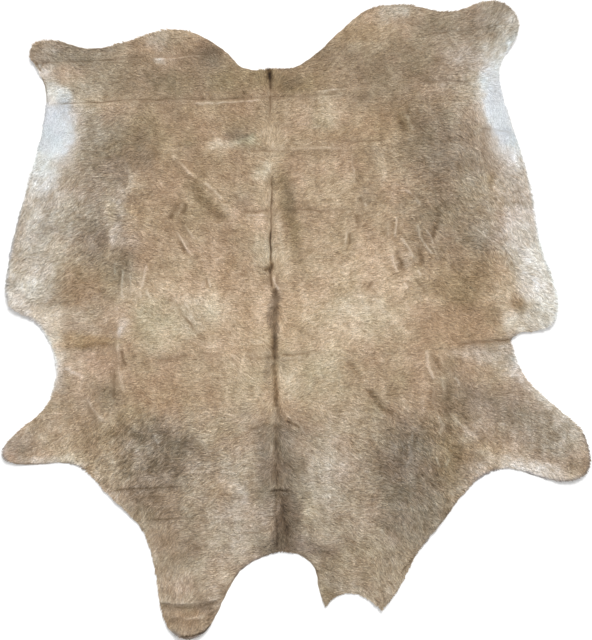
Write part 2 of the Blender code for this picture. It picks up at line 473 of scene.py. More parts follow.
# the rows of these four tables have the columns of Crease, and may stop where the rest is as usual
PACKING_FOLDS = (
    ("rump left", ((-861, 857), (-721, 860), (-614, 867), (-487, 878)), -0.6, 2.3, -13, 0, 5),
    ("rump left inner", ((-487, 873), (-394, 877), (-304, 887), (-214, 900)), -0.6, 5, -6, 5),
    ("rump left inner crest", ((-501, 867), (-401, 872), (-301, 882)), 0.8, 2.6, 26),
    ("rump right", ((429, 955), (546, 963), (679, 975)), -0.3, 2.5, -2, 12),
    ("first left", ((-834, 717), (-687, 723), (-587, 730), (-487, 733), (-337, 733), (-137, 738),
        (-21, 748)), -0.8, 2.3, -10, -8, 5),
    ("first left crest", ((-344, 723), (-237, 725), (-114, 732)), 1.2, 2.6, 56, 0, 10),
    ("first right", ((-54, 744), (46, 743), (163, 750)), -0.4, 2.3, -2, -5),
    ("first right crest", ((63, 760), (113, 765), (173, 770)), 0.8, 3.2, 30),
    ("first far right", ((409, 793), (496, 795), (573, 794)), -0.6, 2.6, -10, -4),
    ("second left", ((-154, 562), (-87, 563), (-14, 564)), -0.6, 2.6, -11),
    ("second right", ((139, 596), (213, 595), (299, 597)), -0.6, 2.2, -8),
    ("second right crest", ((-34, 568), (63, 572), (166, 571)), 0.8, 5, 14),
    ("third left", ((-187, 362), (-134, 361), (-84, 363)), -0.8, 4.2, -15, 0, 20),
    ("third left crest", ((-167, 348), (-127, 349), (-87, 350)), 0.8, 2.6, 24),
    ("third right", ((-71, 367), (113, 363), (253, 370)), -0.5, 3, -10, -3),
    ("middle outer left", ((-477, -127), (-437, -133), (-387, -123), (-351, -115)), -0.8, 3.6, -6, 8),
    ("middle left", ((-327, -110), (-281, -113), (-231, -116)), -0.6, 4.6, -8, 0, 16, 50),
    ("middle inner left", ((-174, -118), (-134, -128), (-81, -123)), -0.8, 6, -20, 8, 12, 60),
    ("middle right", ((-57, -117), (-7, -115), (33, -110), (79, -98)), -1, 2.8, -16, 0, 15),
    ("middle right crest", ((-54, -127), (-21, -127), (19, -123)), 0.6, 4, 12),
    ("middle right notch", ((519, -82), (579, -77), (639, -71), (723, -67)), -1.4, 4, -14, 12, 12),
    ("belly left", ((-797, -90), (-704, -83), (-601, -78)), -1, 8.8, -9, 5),
    ("shoulder left", ((-651, -570), (-611, -570), (-567, -563), (-487, -557), (-361, -553)), -0.6, 3,
        -22, 8),
    ("shoulder spine", ((-94, -568), (-61, -565), (-21, -569)), -1, 3.4, -36, 5, 20),
    ("neck left", ((-501, -663), (-421, -660), (-321, -657)), -0.6, 4, -10, 6),
    ("neck spine", ((-187, -707), (-114, -709)), -0.4, 2.8, -12),
    ("neck flap crest", ((-461, -942), (-371, -943), (-304, -938), (-244, -927)), 3, 4.2, 10, 3, 6),
    ("neck flap foot", ((-454, -955), (-371, -958), (-304, -952), (-247, -938)), -1.4, 5.2, -10, 0, 6),
    ("neck flap low crest", ((-421, -990), (-354, -992), (-297, -983)), 1.2, 4.5, 50),
    ("middle inner left crest", ((-167, -108), (-127, -112), (-87, -107)), 0.6, 3.4, 3),
    ("second thigh right", ((599, 640), (659, 635), (729, 623)), -0.4, 2.6, -6),
    ("middle right corner", ((659, -70), (689, -67), (723, -63)), -0.5, 2.8, -30, 0, 6),
)

WRINKLES = (
    ("back left", ((-421, 560), (-394, 523), (-361, 487), (-317, 462)), 2.5, 7.5, 17, 8),
    ("back left lower", ((-311, 458), (-281, 440), (-244, 397)), 2.5, 5.2, 30, 9),
    ("back left trough", ((-381, 453), (-334, 420), (-294, 380), (-241, 323)), -1.6, 15, -20, 0, 12),
    ("back left stroke", ((-394, 393), (-409, 357), (-417, 330)), -0.9, 6.3, -26, 4),
    ("back left stroke two", ((-364, 393), (-371, 370), (-377, 347)), -0.9, 6.6, -20),
    ("back left stroke lit", ((-381, 390), (-387, 367), (-394, 343)), 1.1, 3.3, 24),
    ("loin left", ((-404, 307), (-377, 260), (-347, 210)), 1.8, 3.5, 30, 0, 22),
    ("loin left trough", ((-394, 273), (-374, 233), (-354, 200)), -1.1, 8.5, -22, 0, 22),
    ("loin left faint", ((-374, 320), (-337, 267)), 1.1, 4.4, 17),
    ("paunch left", ((-427, 83), (-391, 43), (-354, -7), (-321, -57)), -1.4, 6.5, -16, 12),
    ("rib left outer", ((-577, 173), (-582, 120), (-574, 63)), 1.7, 3.6, 58, -8),
    ("rib left outer two", ((-602, 193), (-607, 147)), 1.4, 3.2, 72),
    ("rib left between", ((-554, 153), (-549, 73)), 1.4, 3.2, 23, 6),
    ("rib left inner", ((-499, 187), (-506, 143), (-511, 103)), 1.8, 3.6, 54, -8),
    ("rib left inner foot", ((-517, 110), (-514, 70)), 1.4, 3.2, 52),
    ("rib left inner fork", ((-497, 103), (-484, 70)), 1.1, 3.2, 27),
    ("rib left tick", ((-301, 140), (-289, 103)), -1.1, 4.8, -8, 12),
    ("rib left tick lit", ((-292, 140), (-284, 107)), 1.1, 3.2, 26),
    ("belly left ridge", ((-584, 0), (-592, -50), (-596, -100), (-591, -173), (-574, -260)), 1.8, 6.5, 22,
        8),
    ("belly left line", ((-606, -143), (-607, -207), (-609, -273)), -1.1, 5.3, -10),
    ("belly left hook", ((-584, -100), (-577, -130), (-561, -163)), -1.1, 5.3, -22, 9),
    ("elbow left diagonal", ((-781, -153), (-747, -170), (-701, -190)), 1.4, 6, 22, -8),
    ("elbow left", ((-701, -253), (-687, -283), (-667, -313), (-634, -343)), 1.6, 6, 22, 8),
    ("shoulder left furrow", ((-601, -317), (-567, -367), (-527, -400), (-481, -423)), -1.6, 12, -20, 0,
        25),
    ("shoulder left line", ((-607, -323), (-581, -347), (-534, -377), (-487, -400)), -0.9, 5, -10),
    ("shoulder left tick", ((-474, -373), (-467, -397), (-457, -420)), 1.4, 4, 20),
    ("shoulder left swell", ((-627, -400), (-621, -450), (-611, -493)), 2.1, 11, 4, 8),
    ("shoulder left hollow", ((-594, -400), (-581, -460), (-574, -513)), -1.4, 11, -9),
    ("shoulder left swell two", ((-534, -420), (-517, -460), (-511, -507)), 2.1, 11, 6),
    ("shoulder left hollow two", ((-494, -440), (-484, -480), (-487, -527)), -1.1, 11, -13),
    ("back right", ((183, 560), (189, 507), (199, 457)), 1.4, 4, 26, -8),
    ("back right tick", ((214, 413), (221, 373)), -1.1, 5.3, -25, 9),
    ("back right tick lit", ((226, 390), (234, 377)), 1.1, 3.2, 30),
    ("rib right outer", ((334, 347), (332, 310), (328, 273)), 1.6, 3.5, 44, -6),
    ("rib right faint", ((306, 333), (303, 300), (308, 263)), 1.4, 4, 12),
    ("rib right", ((346, 280), (373, 243), (396, 203)), 1.8, 4, 32, -8),
    ("rib right low", ((316, 220), (324, 187), (339, 157)), 1.6, 3.5, 40, -8),
    ("rib right trough", ((326, 237), (346, 193), (363, 150)), -1.6, 10, -24, 0, 25),
    ("rib right fork", ((401, 327), (409, 280), (436, 240), (459, 213)), 1.8, 3.7, 42, 6),
    ("rib right fork two", ((429, 307), (446, 283), (456, 250)), 1.4, 3.3, 38),
    ("rib right deep", ((473, 387), (469, 333), (459, 267)), -1.6, 9, -36, 9),
    ("rib right hollow", ((409, 247), (416, 207), (419, 173)), -1.1, 8.9, -25),
    ("loin right", ((168, 303), (163, 273), (159, 240)), 1.4, 3.5, 19),
    ("loin right line", ((176, 293), (178, 243)), -1.1, 5.6, -14),
    ("loin right tick", ((359, 123), (373, 103)), 1.1, 3.3, 80),
    ("loin right tick two", ((403, 167), (418, 143)), 1.4, 4, 48),
    ("loin right stroke", ((256, 130), (233, 100)), -1.1, 6.6, -10),
    ("loin right stroke two", ((393, 137), (433, 90)), -1.1, 5.9, -13),
    ("thigh right", ((359, 440), (393, 413), (416, 380)), 1.4, 4.8, 19, 6),
    ("thigh right trough", ((343, 410), (369, 380)), -1.1, 8.2, -8),
    ("thigh right arc", ((459, 370), (499, 400), (523, 423)), 1.1, 4, 17),
    ("thigh right streak", ((363, 693), (376, 663), (396, 630)), 1.4, 6.2, 28),
    ("thigh right streak dark", ((333, 687), (353, 653), (366, 623)), -1.1, 9, -15),
    ("arm right lit", ((436, -97), (439, -147), (459, -203)), 2.1, 5, 41, -6),
    ("arm right trough", ((453, -110), (473, -147), (483, -203)), -1.8, 9.5, -30, 0, 22),
    ("arm right upper", ((479, -187), (489, -233), (479, -287)), 1.6, 4.6, 15),
    ("arm right inner", ((459, -213), (453, -260), (463, -307)), 1.1, 4, 9),
    ("arm right deep", ((516, -193), (506, -260), (509, -333), (523, -403)), -2.1, 12, -23, 0, 25),
    ("arm right crest", ((469, -313), (486, -347), (479, -390)), 1.6, 5, 30, -6),
    ("arm right hollow", ((449, -267), (433, -320), (413, -367)), -1.4, 11, -14),
    ("arm right outer", ((513, -310), (559, -363), (613, -407)), 1.8, 8, 20, 6),
    ("arm right tick", ((526, -187), (544, -220)), 1.1, 4, 56),
    ("shoulder right", ((216, -207), (253, -253), (286, -293), (343, -330)), -2.1, 10, -24, 0, 25),
    ("shoulder right faint", ((163, -127), (196, -173), (219, -213)), -1.1, 11, -12),
    ("shoulder right curl", ((376, -393), (383, -447), (359, -497)), 1.1, 4, 27),
    ("shoulder right tick", ((466, -457), (479, -493)), 1.4, 4, 30),
    ("shoulder right tick two", ((516, -453), (499, -487)), 1.1, 3.7, 48),
    ("shoulder right low", ((453, -487), (483, -523)), -1.1, 9, -14),
    ("loin crest", ((-76, 150), (-69, 123), (-51, 93)), 1.6, 3.5, 40, 0, 20),
    ("loin crest side", ((-67, 120), (-34, 113)), 0.9, 3.7, 2),
    ("thigh rim left", ((-787, 710), (-754, 673), (-741, 627), (-754, 573), (-791, 540)), 0.9, 6.4, 6),
    ("back right soft", ((198, 353), (203, 330), (208, 303)), -0.8, 6, -16),
    ("thigh right crest", ((339, 440), (376, 430), (403, 397), (429, 363)), 1, 4, 22, -4),
    ("thigh right cloud", ((289, 540), (296, 500), (289, 460)), 0.6, 7, 6),
    ("rib right fork three", ((453, 247), (469, 220), (479, 193)), 0.8, 3.2, 17),
    ("shoulder right whisk", ((386, -367), (389, -413), (369, -460)), 0.8, 3.2, 26),
    ("shoulder right whisk two", ((339, -387), (359, -423), (353, -460)), 0.8, 3.2, 14),
    ("thigh left rim", ((-567, 533), (-557, 493), (-551, 453)), 0.8, 6, 16),
    ("back left crest", ((-404, 540), (-381, 513), (-354, 488)), 0.8, 3.2, 18),
    ("back left soft", ((-264, 413), (-227, 373), (-184, 323)), 1.6, 10, 6),
    ("paunch left lit", ((-374, 67), (-351, 27), (-331, -17)), 0.8, 3.6, 13),
    ("paunch left tail", ((-327, -37), (-307, -60), (-304, -90)), -0.6, 5, -6),
    ("belly left cloud", ((-567, -7), (-561, -43)), 0.6, 7, 10),
    ("rump right crescent", ((183, 750), (199, 735), (226, 737), (246, 753)), -0.5, 3.2, -20),
    ("flank right bar", ((679, 390), (733, 390), (779, 387)), -0.4, 6, -8),
    ("loin left veil", ((-384, 280), (-354, 247), (-341, 213)), 0.5, 6, 5),
)

# edges that turn up off the floor, with painted shade and painted shadow along them
ROLLED_EDGES = (
    ("hind notch left", ((-847, 810), (-834, 773), (-829, 720)), -0.6, 1.9, -32, 0, 12),
    ("hind flap left", ((-867, 860), (-851, 827)), -0.2, 3, -26, 0, 10),
    ("hind flap right", ((-842, 860), (-852, 827)), -0.2, 3, -40, 0, 10),
    ("fore shank right", ((619, -530), (659, -508), (706, -502), (749, -508), (799, -530), (879, -543)),
        -0.4, 2, -36, 0, 12),
    ("neck notch", ((-127, -800), (-101, -787), (-64, -777)), -0.4, 1.9, -30, 0, 12),
    ("neck flap", ((-247, -930), (-224, -880), (-174, -830)), -0.4, 2.2, -28, 0, 12),
    ("neck flap tip", ((-394, -1050), (-344, -1053), (-297, -1033), (-267, -997)), -0.2, 2.6, -60, 0, 15),
    ("neck right", ((336, -863), (439, -733), (509, -637), (559, -570)), -0.2, 2, -24, 0, 12),
    ("fore shank left", ((-954, -477), (-867, -482), (-781, -477), (-734, -483)), -0.2, 2, -12, 0, 12),
)

SPINE_LINES = (
    ("tail head", ((-92, 853), (-90, 827), (-89, 800)), 1.2, 7.8, -50, 0, 5, 10),
    ("tail head lower", ((-89, 827), (-88, 800), (-87, 767)), -0.6, 4.2, -50, 0, 12, 10),
    ("rump line", ((-87, 787), (-86, 733), (-85, 667)), -0.4, 2.4, -30, 0, 35, 10),
    ("loin line", ((-84, 487), (-84, 400), (-85, 293), (-85, 187)), -0.6, 2.2, -38, 0, 12, 15),
    ("loin line lower", ((-86, 313), (-86, 247), (-87, 173)), -0.4, 3.8, -42, 0, 20, 10),
    ("loin knot", ((-79, 193), (-82, 173), (-94, 160)), -1, 7, -45, 0, 20, 10),
    ("loin smudge", ((-87, 180), (-107, 163)), -0.6, 7, -34, 0, 25, 10),
    ("loin link", ((-87, 170), (-83, 137), (-79, 103)), -0.6, 4.2, -40, 0, 15, 10),
    ("back band", ((-69, 113), (-69, 57), (-71, -33), (-73, -140)), -0.6, 11.6, -38, 0, 6, 12),
    ("middle knot", ((-77, -87), (-75, -123), (-74, -160)), -1.2, 7.5, -14, 0, 25, 10),
    ("withers line", ((-71, -140), (-67, -200), (-64, -293)), -0.6, 10.5, -30, 0, 6, 20),
    ("withers line core", ((-65, -240), (-63, -287), (-62, -337)), -0.6, 5, -10, 0, 25, 10),
    ("whorl", ((-77, -347), (-61, -357), (-41, -347)), -0.8, 9, -18, 0, 30, 10),
    ("whorl left arm", ((-94, -343), (-127, -357), (-167, -370)), -0.8, 6, -10),
    ("whorl left crest", ((-107, -323), (-154, -347)), 0.8, 4.4, 3),
    ("whorl right arm", ((-37, -335), (-11, -343), (13, -360)), -1, 3.4, -60),
    ("whorl right crest", ((-41, -318), (-1, -333), (36, -390)), 1, 3.6, 18),
    ("neck line upper", ((-61, -367), (-64, -467), (-59, -600)), -0.4, 13, -20, 0, 10),
    ("neck line lower", ((-41, -573), (-34, -667), (-27, -787)), -0.4, 18, -18, 0, 10),
    ("neck line rim", ((-71, -540), (-65, -650), (-61, -777)), -0.4, 4, -16, 0, 10),
    ("neck line core", ((-51, -600), (-44, -683), (-49, -783)), -0.4, 7, -6, 0, 10),
    ("whorl middle", ((-67, -333), (-65, -373), (-63, -427)), -0.4, 8, -13, 0, 20, 20),
)

CREASES = tuple(
    Crease(*row) for row in (*PACKING_FOLDS, *WRINKLES, *ROLLED_EDGES, *SPINE_LINES)
)


@dataclass(frozen=True)
class CreaseWork:
    """All the creases together, with the unevenness that makes them look worn in."""

    creases: tuple[Crease, ...] = CREASES
    wander: float = 0.0012

    WANDER = (Mottle(11, 0.060), Mottle(12, 0.060))
    BREAKS = Mottle(13, 0.030)
    STRENGTHS = (0.25, 1.6)  # of a crease where it breaks and where it gathers
    LIT_GAIN = 1.6
    NARROW = 7.0  # a wider crease, in millimetres, leaves the hair as it is

    def _strayed(self, places: Array) -> Array:
        """Moves places a little, so that straight paths wander."""
        return places + self.wander * np.stack([m.at(places) for m in self.WANDER], 1)

    def read(self, places: Array) -> tuple[Array, Array, Array]:
        """Adds up the creases at places.

        Args:
            places: x and y, one row each.

        Returns:
            The height that they add, in metres, the share by which the hair's colour is made lighter,
            which holds the painted light and painted shade of the folds and wrinkles, and how far they
            press the hair down, from 0 to 1.
        """
        strayed = self._strayed(places) / MM
        rise, shade, pressed = np.zeros((3, len(places)))
        for crease in self.creases:
            rows = crease.near(strayed)
            if not len(rows):
                continue
            amount, across, near = crease.profile(strayed[rows])
            breaks = self.BREAKS.at(places[rows])
            amount *= np.clip(1.0 + crease.uneven / WHOLE * breaks, *self.STRENGTHS)
            rise[rows] += MM * crease.rise * amount
            lit = self.LIT_GAIN * (crease.lit / WHOLE) * across
            shade[rows] += (crease.shade / WHOLE + lit) * amount
            if crease.width < self.NARROW:
                pressed[rows] = np.maximum(pressed[rows], near)
        return rise, shade, pressed


# ---------------- colour pattern


@dataclass(frozen=True)
class Patch:
    """A soft-edged patch of colour, in millimetres.

    name says where it is. along and across are its half sizes, amount is how far the coat
    takes its colour in its middle, in per cent, and turn is the angle of along from +X in
    degrees. The rims and glints along the edge are painted shade and painted light.
    """

    name: str
    fur: Fur
    x: float
    y: float
    along: float
    across: float
    amount: float = 80
    turn: float = 0
    edge: float = 1.5  # 1 fades from the middle, and more keeps it whole nearer to its rim
    fringe: float = 0  # above 0, only so near to the hide's own edge

    def weight(self, places: Array, depth: Array) -> Array:
        """Gives how far the coat takes this colour, from 0 to 1.

        Args:
            places: x and y in millimetres, one row each.
            depth: each place's distance from the hide's edge, in millimetres.

        Returns:
            One share a row.
        """
        turn = math.radians(self.turn)
        offset = places - (self.x, self.y)
        u = offset @ (math.cos(turn), math.sin(turn)) / self.along
        v = offset @ (-math.sin(turn), math.cos(turn)) / self.across
        weight = self.amount / WHOLE * np.exp(-((u * u + v * v) ** self.edge))
        if self.fringe:
            weight *= np.exp(-((np.maximum(depth, 0.0) / self.fringe) ** 2))
        return weight


PATCHES = tuple(Patch(*row) for row in (
    # the cooler ground of the ends and the flanks
    ("ground neck", DUN, -50, -780, 950, 480, 85, 0, 2),
    ("ground flank left", DUN, -850, 350, 270, 650, 95, 0, 2),
    ("ground flank right", DUN, 800, 400, 300, 700, 100, 10, 2),
    ("ground hind left", DUN, -754, 860, 200, 120, 90, 0, 2),
    ("ground hind right", DUN, 613, 967, 220, 147, 90, 0, 2),
    # the broad tones of the back
    ("middle left", SAND, -330, 75, 190, 100, 55),
    ("middle right", SAND, 220, 85, 220, 150, 72),
    ("middle spine", SAND, -60, -60, 230, 160, 75),
    ("withers", SAND, -60, -230, 220, 100, 60),
    ("back spine", SAND, -90, 330, 80, 330, 40),
    ("back right", SAND, 110, 330, 110, 200, 30),
    ("back left", RUSSET, -330, 560, 160, 130, 35, -30),
    ("loin left", OLIVE, -390, 340, 130, 70, 40, -10),
    # the rump
    ("rump left", MOSS, -420, 800, 260, 75, 68, 3),
    ("rump left core", OLIVE, -410, 795, 70, 45, 45),
    ("rump tail left", OLIVE, -170, 800, 130, 55, 85, 8),
    ("rump tail edge", UMBER, -280, 875, 50, 30, 32, -35),
    ("rump tail right", OLIVE, -10, 800, 100, 38, 95, 5),
    ("rump tail right core", UMBER, -20, 805, 45, 25, 32, 5),
    ("rump right", MOSS, 290, 810, 150, 110, 68, 15),
    ("rump right outer", MOSS, 420, 880, 110, 80, 55),
    ("rump right top", RUSSET, 200, 950, 70, 50, 55, 40),
    # thighs and flanks
    ("thigh left", SLATE, -590, 575, 120, 110, 66, 20),
    ("thigh left inner", OLIVE, -500, 620, 100, 85, 55),
    ("thigh left edge", GREY, -700, 640, 60, 100, 45, 20),
    ("flank left", GREY, -640, 330, 90, 190, 62, 5),
    ("flank left dark", OLIVE, -621, 173, 47, 87, 55),
    ("flank left lower", SLATE, -590, 175, 55, 60, 48),
    ("thigh right", MOSS, 440, 620, 110, 150, 66),
    ("thigh right dark", SLATE, 500, 560, 110, 130, 55, 20),
    ("flank right", MOSS, 520, 340, 130, 190, 66),
    ("flank right dark", MOSS, 450, 330, 60, 110, 50, -10),
    ("flank right grey", GREY, 620, 270, 60, 70, 60),
    ("belly right brown", RUSSET, 580, 110, 140, 130, 86),
    ("belly right core", OLIVE, 560, 90, 70, 60, 45, 20),
    ("elbow right brown", RUSSET, 560, -40, 160, 55, 70, 5),
    ("belly left brown", RUSSET, -720, 120, 80, 75, 66),
    # shoulders, arms and neck
    ("shoulder left", SLATE, -460, -425, 150, 95, 88, -10),
    ("shoulder left lower", SLATE, -455, -560, 130, 100, 82, -10),
    ("neck left", MOSS, -410, -740, 100, 120, 60, -15),
    ("shoulder right", SLATE, 370, -460, 110, 140, 100, 15),
    ("shoulder right outer", OLIVE, 520, -420, 70, 140, 66, 5),
    ("neck right", SLATE, 410, -620, 100, 130, 88, 40),
    ("arm right", MOSS, 530, -270, 65, 110, 80, 5),
    ("arm right outer", SLATE, 610, -260, 60, 50, 62, -20),
    ("arm right inner", OLIVE, 350, -200, 40, 50, 45, 30),
    ("chest left", RUSSET, -380, -240, 200, 60, 30),
    ("arm left", MOSS, -620, -260, 60, 50, 72, -20),
    ("arm left lower", OLIVE, -640, -400, 80, 60, 55),
    ("neck left light", SILVER, -215, -600, 55, 160, 40, 3),
    ("neck right light", SILVER, 99, -513, 87, 127, 42),
    ("neck flap foot", MOSS, -340, -960, 100, 50, 55),
    ("neck flap strip", SAND, -347, -987, 73, 12, 45, -4),
    ("neck flap tip", HONEY, -354, -1007, 90, 30, 55),
    ("neck flap tip umber", UMBER, -354, -1010, 80, 30, 30),
    # the pale ends and edges
    ("pale thigh left", SILVER, -821, 627, 90, 147, 80, 4, 2),
    ("pale thigh left low", SNOW, -847, 473, 50, 80, 92, -12, 2),
    ("white thigh left", SNOW, -821, 650, 82, 113, 100, 0, 4),
    ("white thigh left inner", FROST, -827, 647, 63, 87, 95, 0, 2.5),
    ("pale thigh right", SILVER, 690, 660, 60, 230, 75, 13, 2),
    ("white thigh right", SNOW, 683, 710, 47, 110, 100, 12, 4),
    ("white thigh right low", SNOW, 723, 580, 37, 80, 60, 10),
    ("pale shank right", SNOW, 676, 847, 47, 80, 80, -14, 2),
    ("white thigh right top", SNOW, 643, 787, 33, 57, 80, 0, 2),
    ("white thigh right ring", IVORY, 619, 743, 23, 47, 60, 12),
    ("white thigh right inner", FROST, 686, 693, 33, 113, 60, 14, 2),
    ("hind right cream", SILVER, 613, 873, 80, 43, 55, 10),
    ("hind right silver", SILVER, 700, 970, 40, 40, 60),
    ("hind shank right", GREY, 680, 1020, 90, 50, 70),
    ("hind right top", MOSS, 473, 993, 67, 30, 70, -5),
    ("rump right crest", SILVER, 326, 1023, 60, 27, 45),
    ("hind right grey", SILVER, 679, 967, 47, 40, 35),
    ("hind right edge", SILVER, 706, 967, 40, 47, 50),
    ("hind right blush", IVORY, 679, 900, 30, 30, 45, 30),
    ("hind right light", SILVER, 590, 885, 90, 45, 55, 10),
    ("rump right light", CREAM, 233, 900, 67, 27, 35),
    ("hind shank left", SLATE, -734, 903, 153, 43, 50, 0, 3),
    ("hind left light", ROSE, -787, 823, 80, 33, 60, -6),
    ("hind left grey", SILVER, -847, 890, 43, 30, 30),
    ("hind left cream", IVORY, -804, 747, 53, 33, 90, 0, 2.5),
    ("hind left flap", IVORY, -856, 843, 17, 20, 100, 0, 3),
    ("rump left grey", SILVER, -700, 775, 70, 35, 20),
    ("belly left edge", SILVER, -855, 320, 95, 200, 68, -10),
    ("belly left pale", IVORY, -910, 130, 80, 70, 85),
    ("belly left tip", IVORY, -925, 60, 70, 45, 80, -20),
    ("elbow left pale", CREAM, -821, -7, 67, 33, 90, -30, 2),
    ("elbow left rim", IVORY, -821, -73, 23, 73, 85, 16),
    ("elbow left edge", IVORY, -794, -120, 20, 87, 75, 4),
    ("flank right edge", SAND, 700, 420, 85, 60, 65, 5),
    ("flank right pale", SILVER, 790, 350, 50, 140, 90, 12),
    ("belly right edge", IVORY, 790, 170, 75, 110, 80, 12),
    ("belly right sand", SAND, 690, 110, 40, 90, 60, 10),
    ("belly right tip", IVORY, 840, 50, 60, 80, 90),
    ("elbow right pale", SNOW, 740, -125, 35, 55, 100, 25, 2),
    ("elbow right light", SILVER, 650, -115, 90, 35, 55),
    ("fore shank right", GREY, 800, -360, 230, 95, 78, -28),
    ("fore shank right dark", SLATE, 700, -300, 90, 35, 35, -25),
    ("fore shank right edge", IVORY, 770, -490, 130, 40, 95, -6, 2),
    ("armpit right light", CREAM, 640, -470, 60, 40, 50, 10),
    ("fore shank left tip", GREY, -930, -420, 80, 50, 80, 25),
    ("fore shank left edge", IVORY, -800, -470, 120, 20, 70),
    # the smaller blotches, from the rump to the neck
    ("rump left spot", IVORY, -461, 873, 17, 13, 55),
    ("rump left smudge", SILVER, -467, 933, 40, 33, 45),
    ("tail rose left", SAND, -310, 690, 50, 30, 35),
    ("tail light right", CREAM, 80, 690, 60, 45, 40, 5),
    ("tail right cream", CREAM, 113, 753, 47, 27, 40),
    ("tail lichen right", LICHEN, 100, 690, 45, 60, 70),
    ("tail brown left", RUSSET, -200, 690, 50, 50, 45),
    ("back smudge", UMBER, -165, 603, 22, 10, 50, 5),
    ("back lichen", LICHEN, -167, 587, 40, 20, 95, 5),
    ("back cream left", CREAM, -244, 577, 53, 20, 70),
    ("back ivory", CREAM, -114, 493, 30, 17, 85, 8),
    ("back brown streak", OLIVE, -370, 580, 40, 12, 50, 5),
    ("back olive left", OLIVE, -310, 400, 80, 30, 55, -50),
    ("back olive right", OLIVE, -24, 360, 30, 160, 85, 13),
    ("back umber right", UMBER, -21, 397, 23, 67, 30, 10),
    ("back cream strip", CREAM, -62, 273, 12, 73, 40, 4),
    ("back russet right", RUSSET, 280, 650, 90, 60, 62),
    ("back brown right", OLIVE, 350, 680, 30, 45, 45, 40),
    ("back brown row", RUSSET, 120, 615, 150, 22, 50, 2),
    ("back stripe right", RUSSET, 215, 520, 22, 80, 45),
    ("thigh left streak", CREAM, -560, 470, 16, 50, 35, 8),
    ("thigh left streak two", CREAM, -610, 430, 20, 60, 30),
    ("flank left streak", SILVER, -585, 360, 22, 60, 45),
    ("loin left brown", RUSSET, -225, 170, 35, 35, 70),
    ("loin ivory", CREAM, -121, 237, 40, 30, 85),
    ("loin lichen left", LICHEN, -460, 10, 80, 60, 60),
    ("loin light left", CREAM, -310, 40, 90, 50, 75),
    ("loin cream right", CREAM, 200, 40, 110, 55, 62),
    ("middle tan right", TAN, 40, -40, 70, 40, 35),
    ("withers lichen right", LICHEN, 70, -190, 110, 90, 62),
    ("withers lichen left", LICHEN, -190, -220, 80, 70, 55),
    ("elbow left band", OLIVE, -690, -78, 110, 22),
    ("elbow left rose", ROSE, -690, -150, 90, 40, 45),
    ("belly right spot", RUSSET, 735, 60, 25, 25, 80, -20),
    ("belly right corner", SAND, 719, -13, 47, 47, 70),
    ("shoulder left light", SILVER, -475, -400, 20, 30, 40, 20),
    ("arm right light", SILVER, 590, -370, 50, 45, 40),
    # the finer tones, row by row from the rump
    ("rump left umber", UMBER, -247, 893, 40, 13, 22, -15),
    ("rump right slope", RUSSET, 53, 847, 100, 37, 50, 30),
    ("rump right slope umber", UMBER, 13, 827, 53, 23, 22, 20),
    ("rump right glow", SAND, 119, 693, 53, 47, 35),
    ("thigh left far", OLIVE, -581, 560, 113, 60, 30),
    ("rump left low", OLIVE, -374, 693, 73, 30, 50),
    ("back left olive", OLIVE, -194, 647, 50, 37, 50),
    ("back left umber", UMBER, -207, 620, 40, 27, 22),
    ("back right pale", SAND, 29, 567, 93, 23, 35),
    ("thigh left soot", SLATE, -494, 560, 30, 67, 40, 8),
    ("thigh left heart", UMBER, -554, 560, 53, 47, 18),
    ("flank left pillar", CREAM, -617, 353, 20, 67, 60),
    ("flank left pillar low", SILVER, -597, 287, 27, 27, 40),
    ("flank left soot", UMBER, -644, 257, 20, 47, 32, -15),
    ("flank left grey", GREY, -814, 340, 33, 73, 45, 8),
    ("flank left mist", SILVER, -747, 293, 30, 40, 45),
    ("flank left smudge", UMBER, -797, 303, 27, 7, 40, 4),
    ("flank left veil", CREAM, -794, 233, 47, 47, 30),
    ("flank left fringe", IVORY, -887, 383, 23, 87, 50, 10),
    ("flank left umber", RUSSET, -907, 193, 27, 47, 15, 12),
    ("belly left mist", SILVER, -861, 93, 40, 47, 40),
    ("loin left honey", HONEY, -534, 360, 47, 27, 35),
    ("loin left mud", RUSSET, -247, 127, 53, 20, 35, -10),
    ("loin left pale", LICHEN, -421, -50, 87, 60, 62),
    ("middle left russet", RUSSET, -141, -110, 67, 17, 40),
    ("middle left honey", HONEY, -147, -7, 33, 67, 25),
    ("middle right honey", HONEY, -14, 7, 40, 80, 25),
    ("middle left rose", RUSSET, -454, -240, 87, 67, 42),
    ("middle left sand", SAND, -394, -53, 80, 53, 45),
    ("elbow left sand", SAND, -804, -87, 47, 60, 40),
    ("middle right cream", CREAM, 266, -20, 87, 47, 40),
    ("back right light", SAND, 199, 247, 60, 67, 40),
    ("thigh right mist", CREAM, 286, 520, 20, 40, 25),
    ("flank right rim", SILVER, 719, 383, 47, 147, 62, 14),
    ("flank right veil", SILVER, 696, 317, 40, 87, 35, 14),
    ("flank right blush", ROSE, 706, 383, 80, 87, 35, 10),
    ("flank right veil low", IVORY, 773, 280, 27, 80, 40, 14),
    ("flank right ochre", OLIVE, 633, 467, 30, 23, 50),
    ("flank right mark", UMBER, 613, 403, 23, 8, 20, 10),
    ("belly right bloom", IVORY, 766, 173, 47, 67, 45, 14),
    ("belly right sheen", CREAM, 696, 93, 73, 53, 40),
    ("belly right foot", IVORY, 773, -7, 73, 33, 65, 8),
    ("belly right shade", OLIVE, 753, 47, 33, 33, 42),
    ("elbow left gold", HONEY, -701, -80, 100, 20, 55, 2),
    ("elbow left bloom", CREAM, -754, 13, 67, 27, 45, -10),
    ("elbow left cloud", CREAM, -741, -160, 40, 27, 40, 20),
    ("belly left lichen", SILVER, -574, -20, 20, 40, 45),
    ("arm left dark", MOSS, -667, -387, 40, 73, 45),
    ("arm left rust", ROSE, -941, -450, 27, 27, 40),
    ("arm left hollow", MOSS, -654, -240, 50, 37, 55, -20),
    ("arm left cream", CREAM, -707, -457, 80, 23, 55),
    ("shoulder left russet", RUSSET, -677, -473, 33, 47, 40),
    ("shoulder left olive", OLIVE, -541, -307, 73, 30, 40, 15),
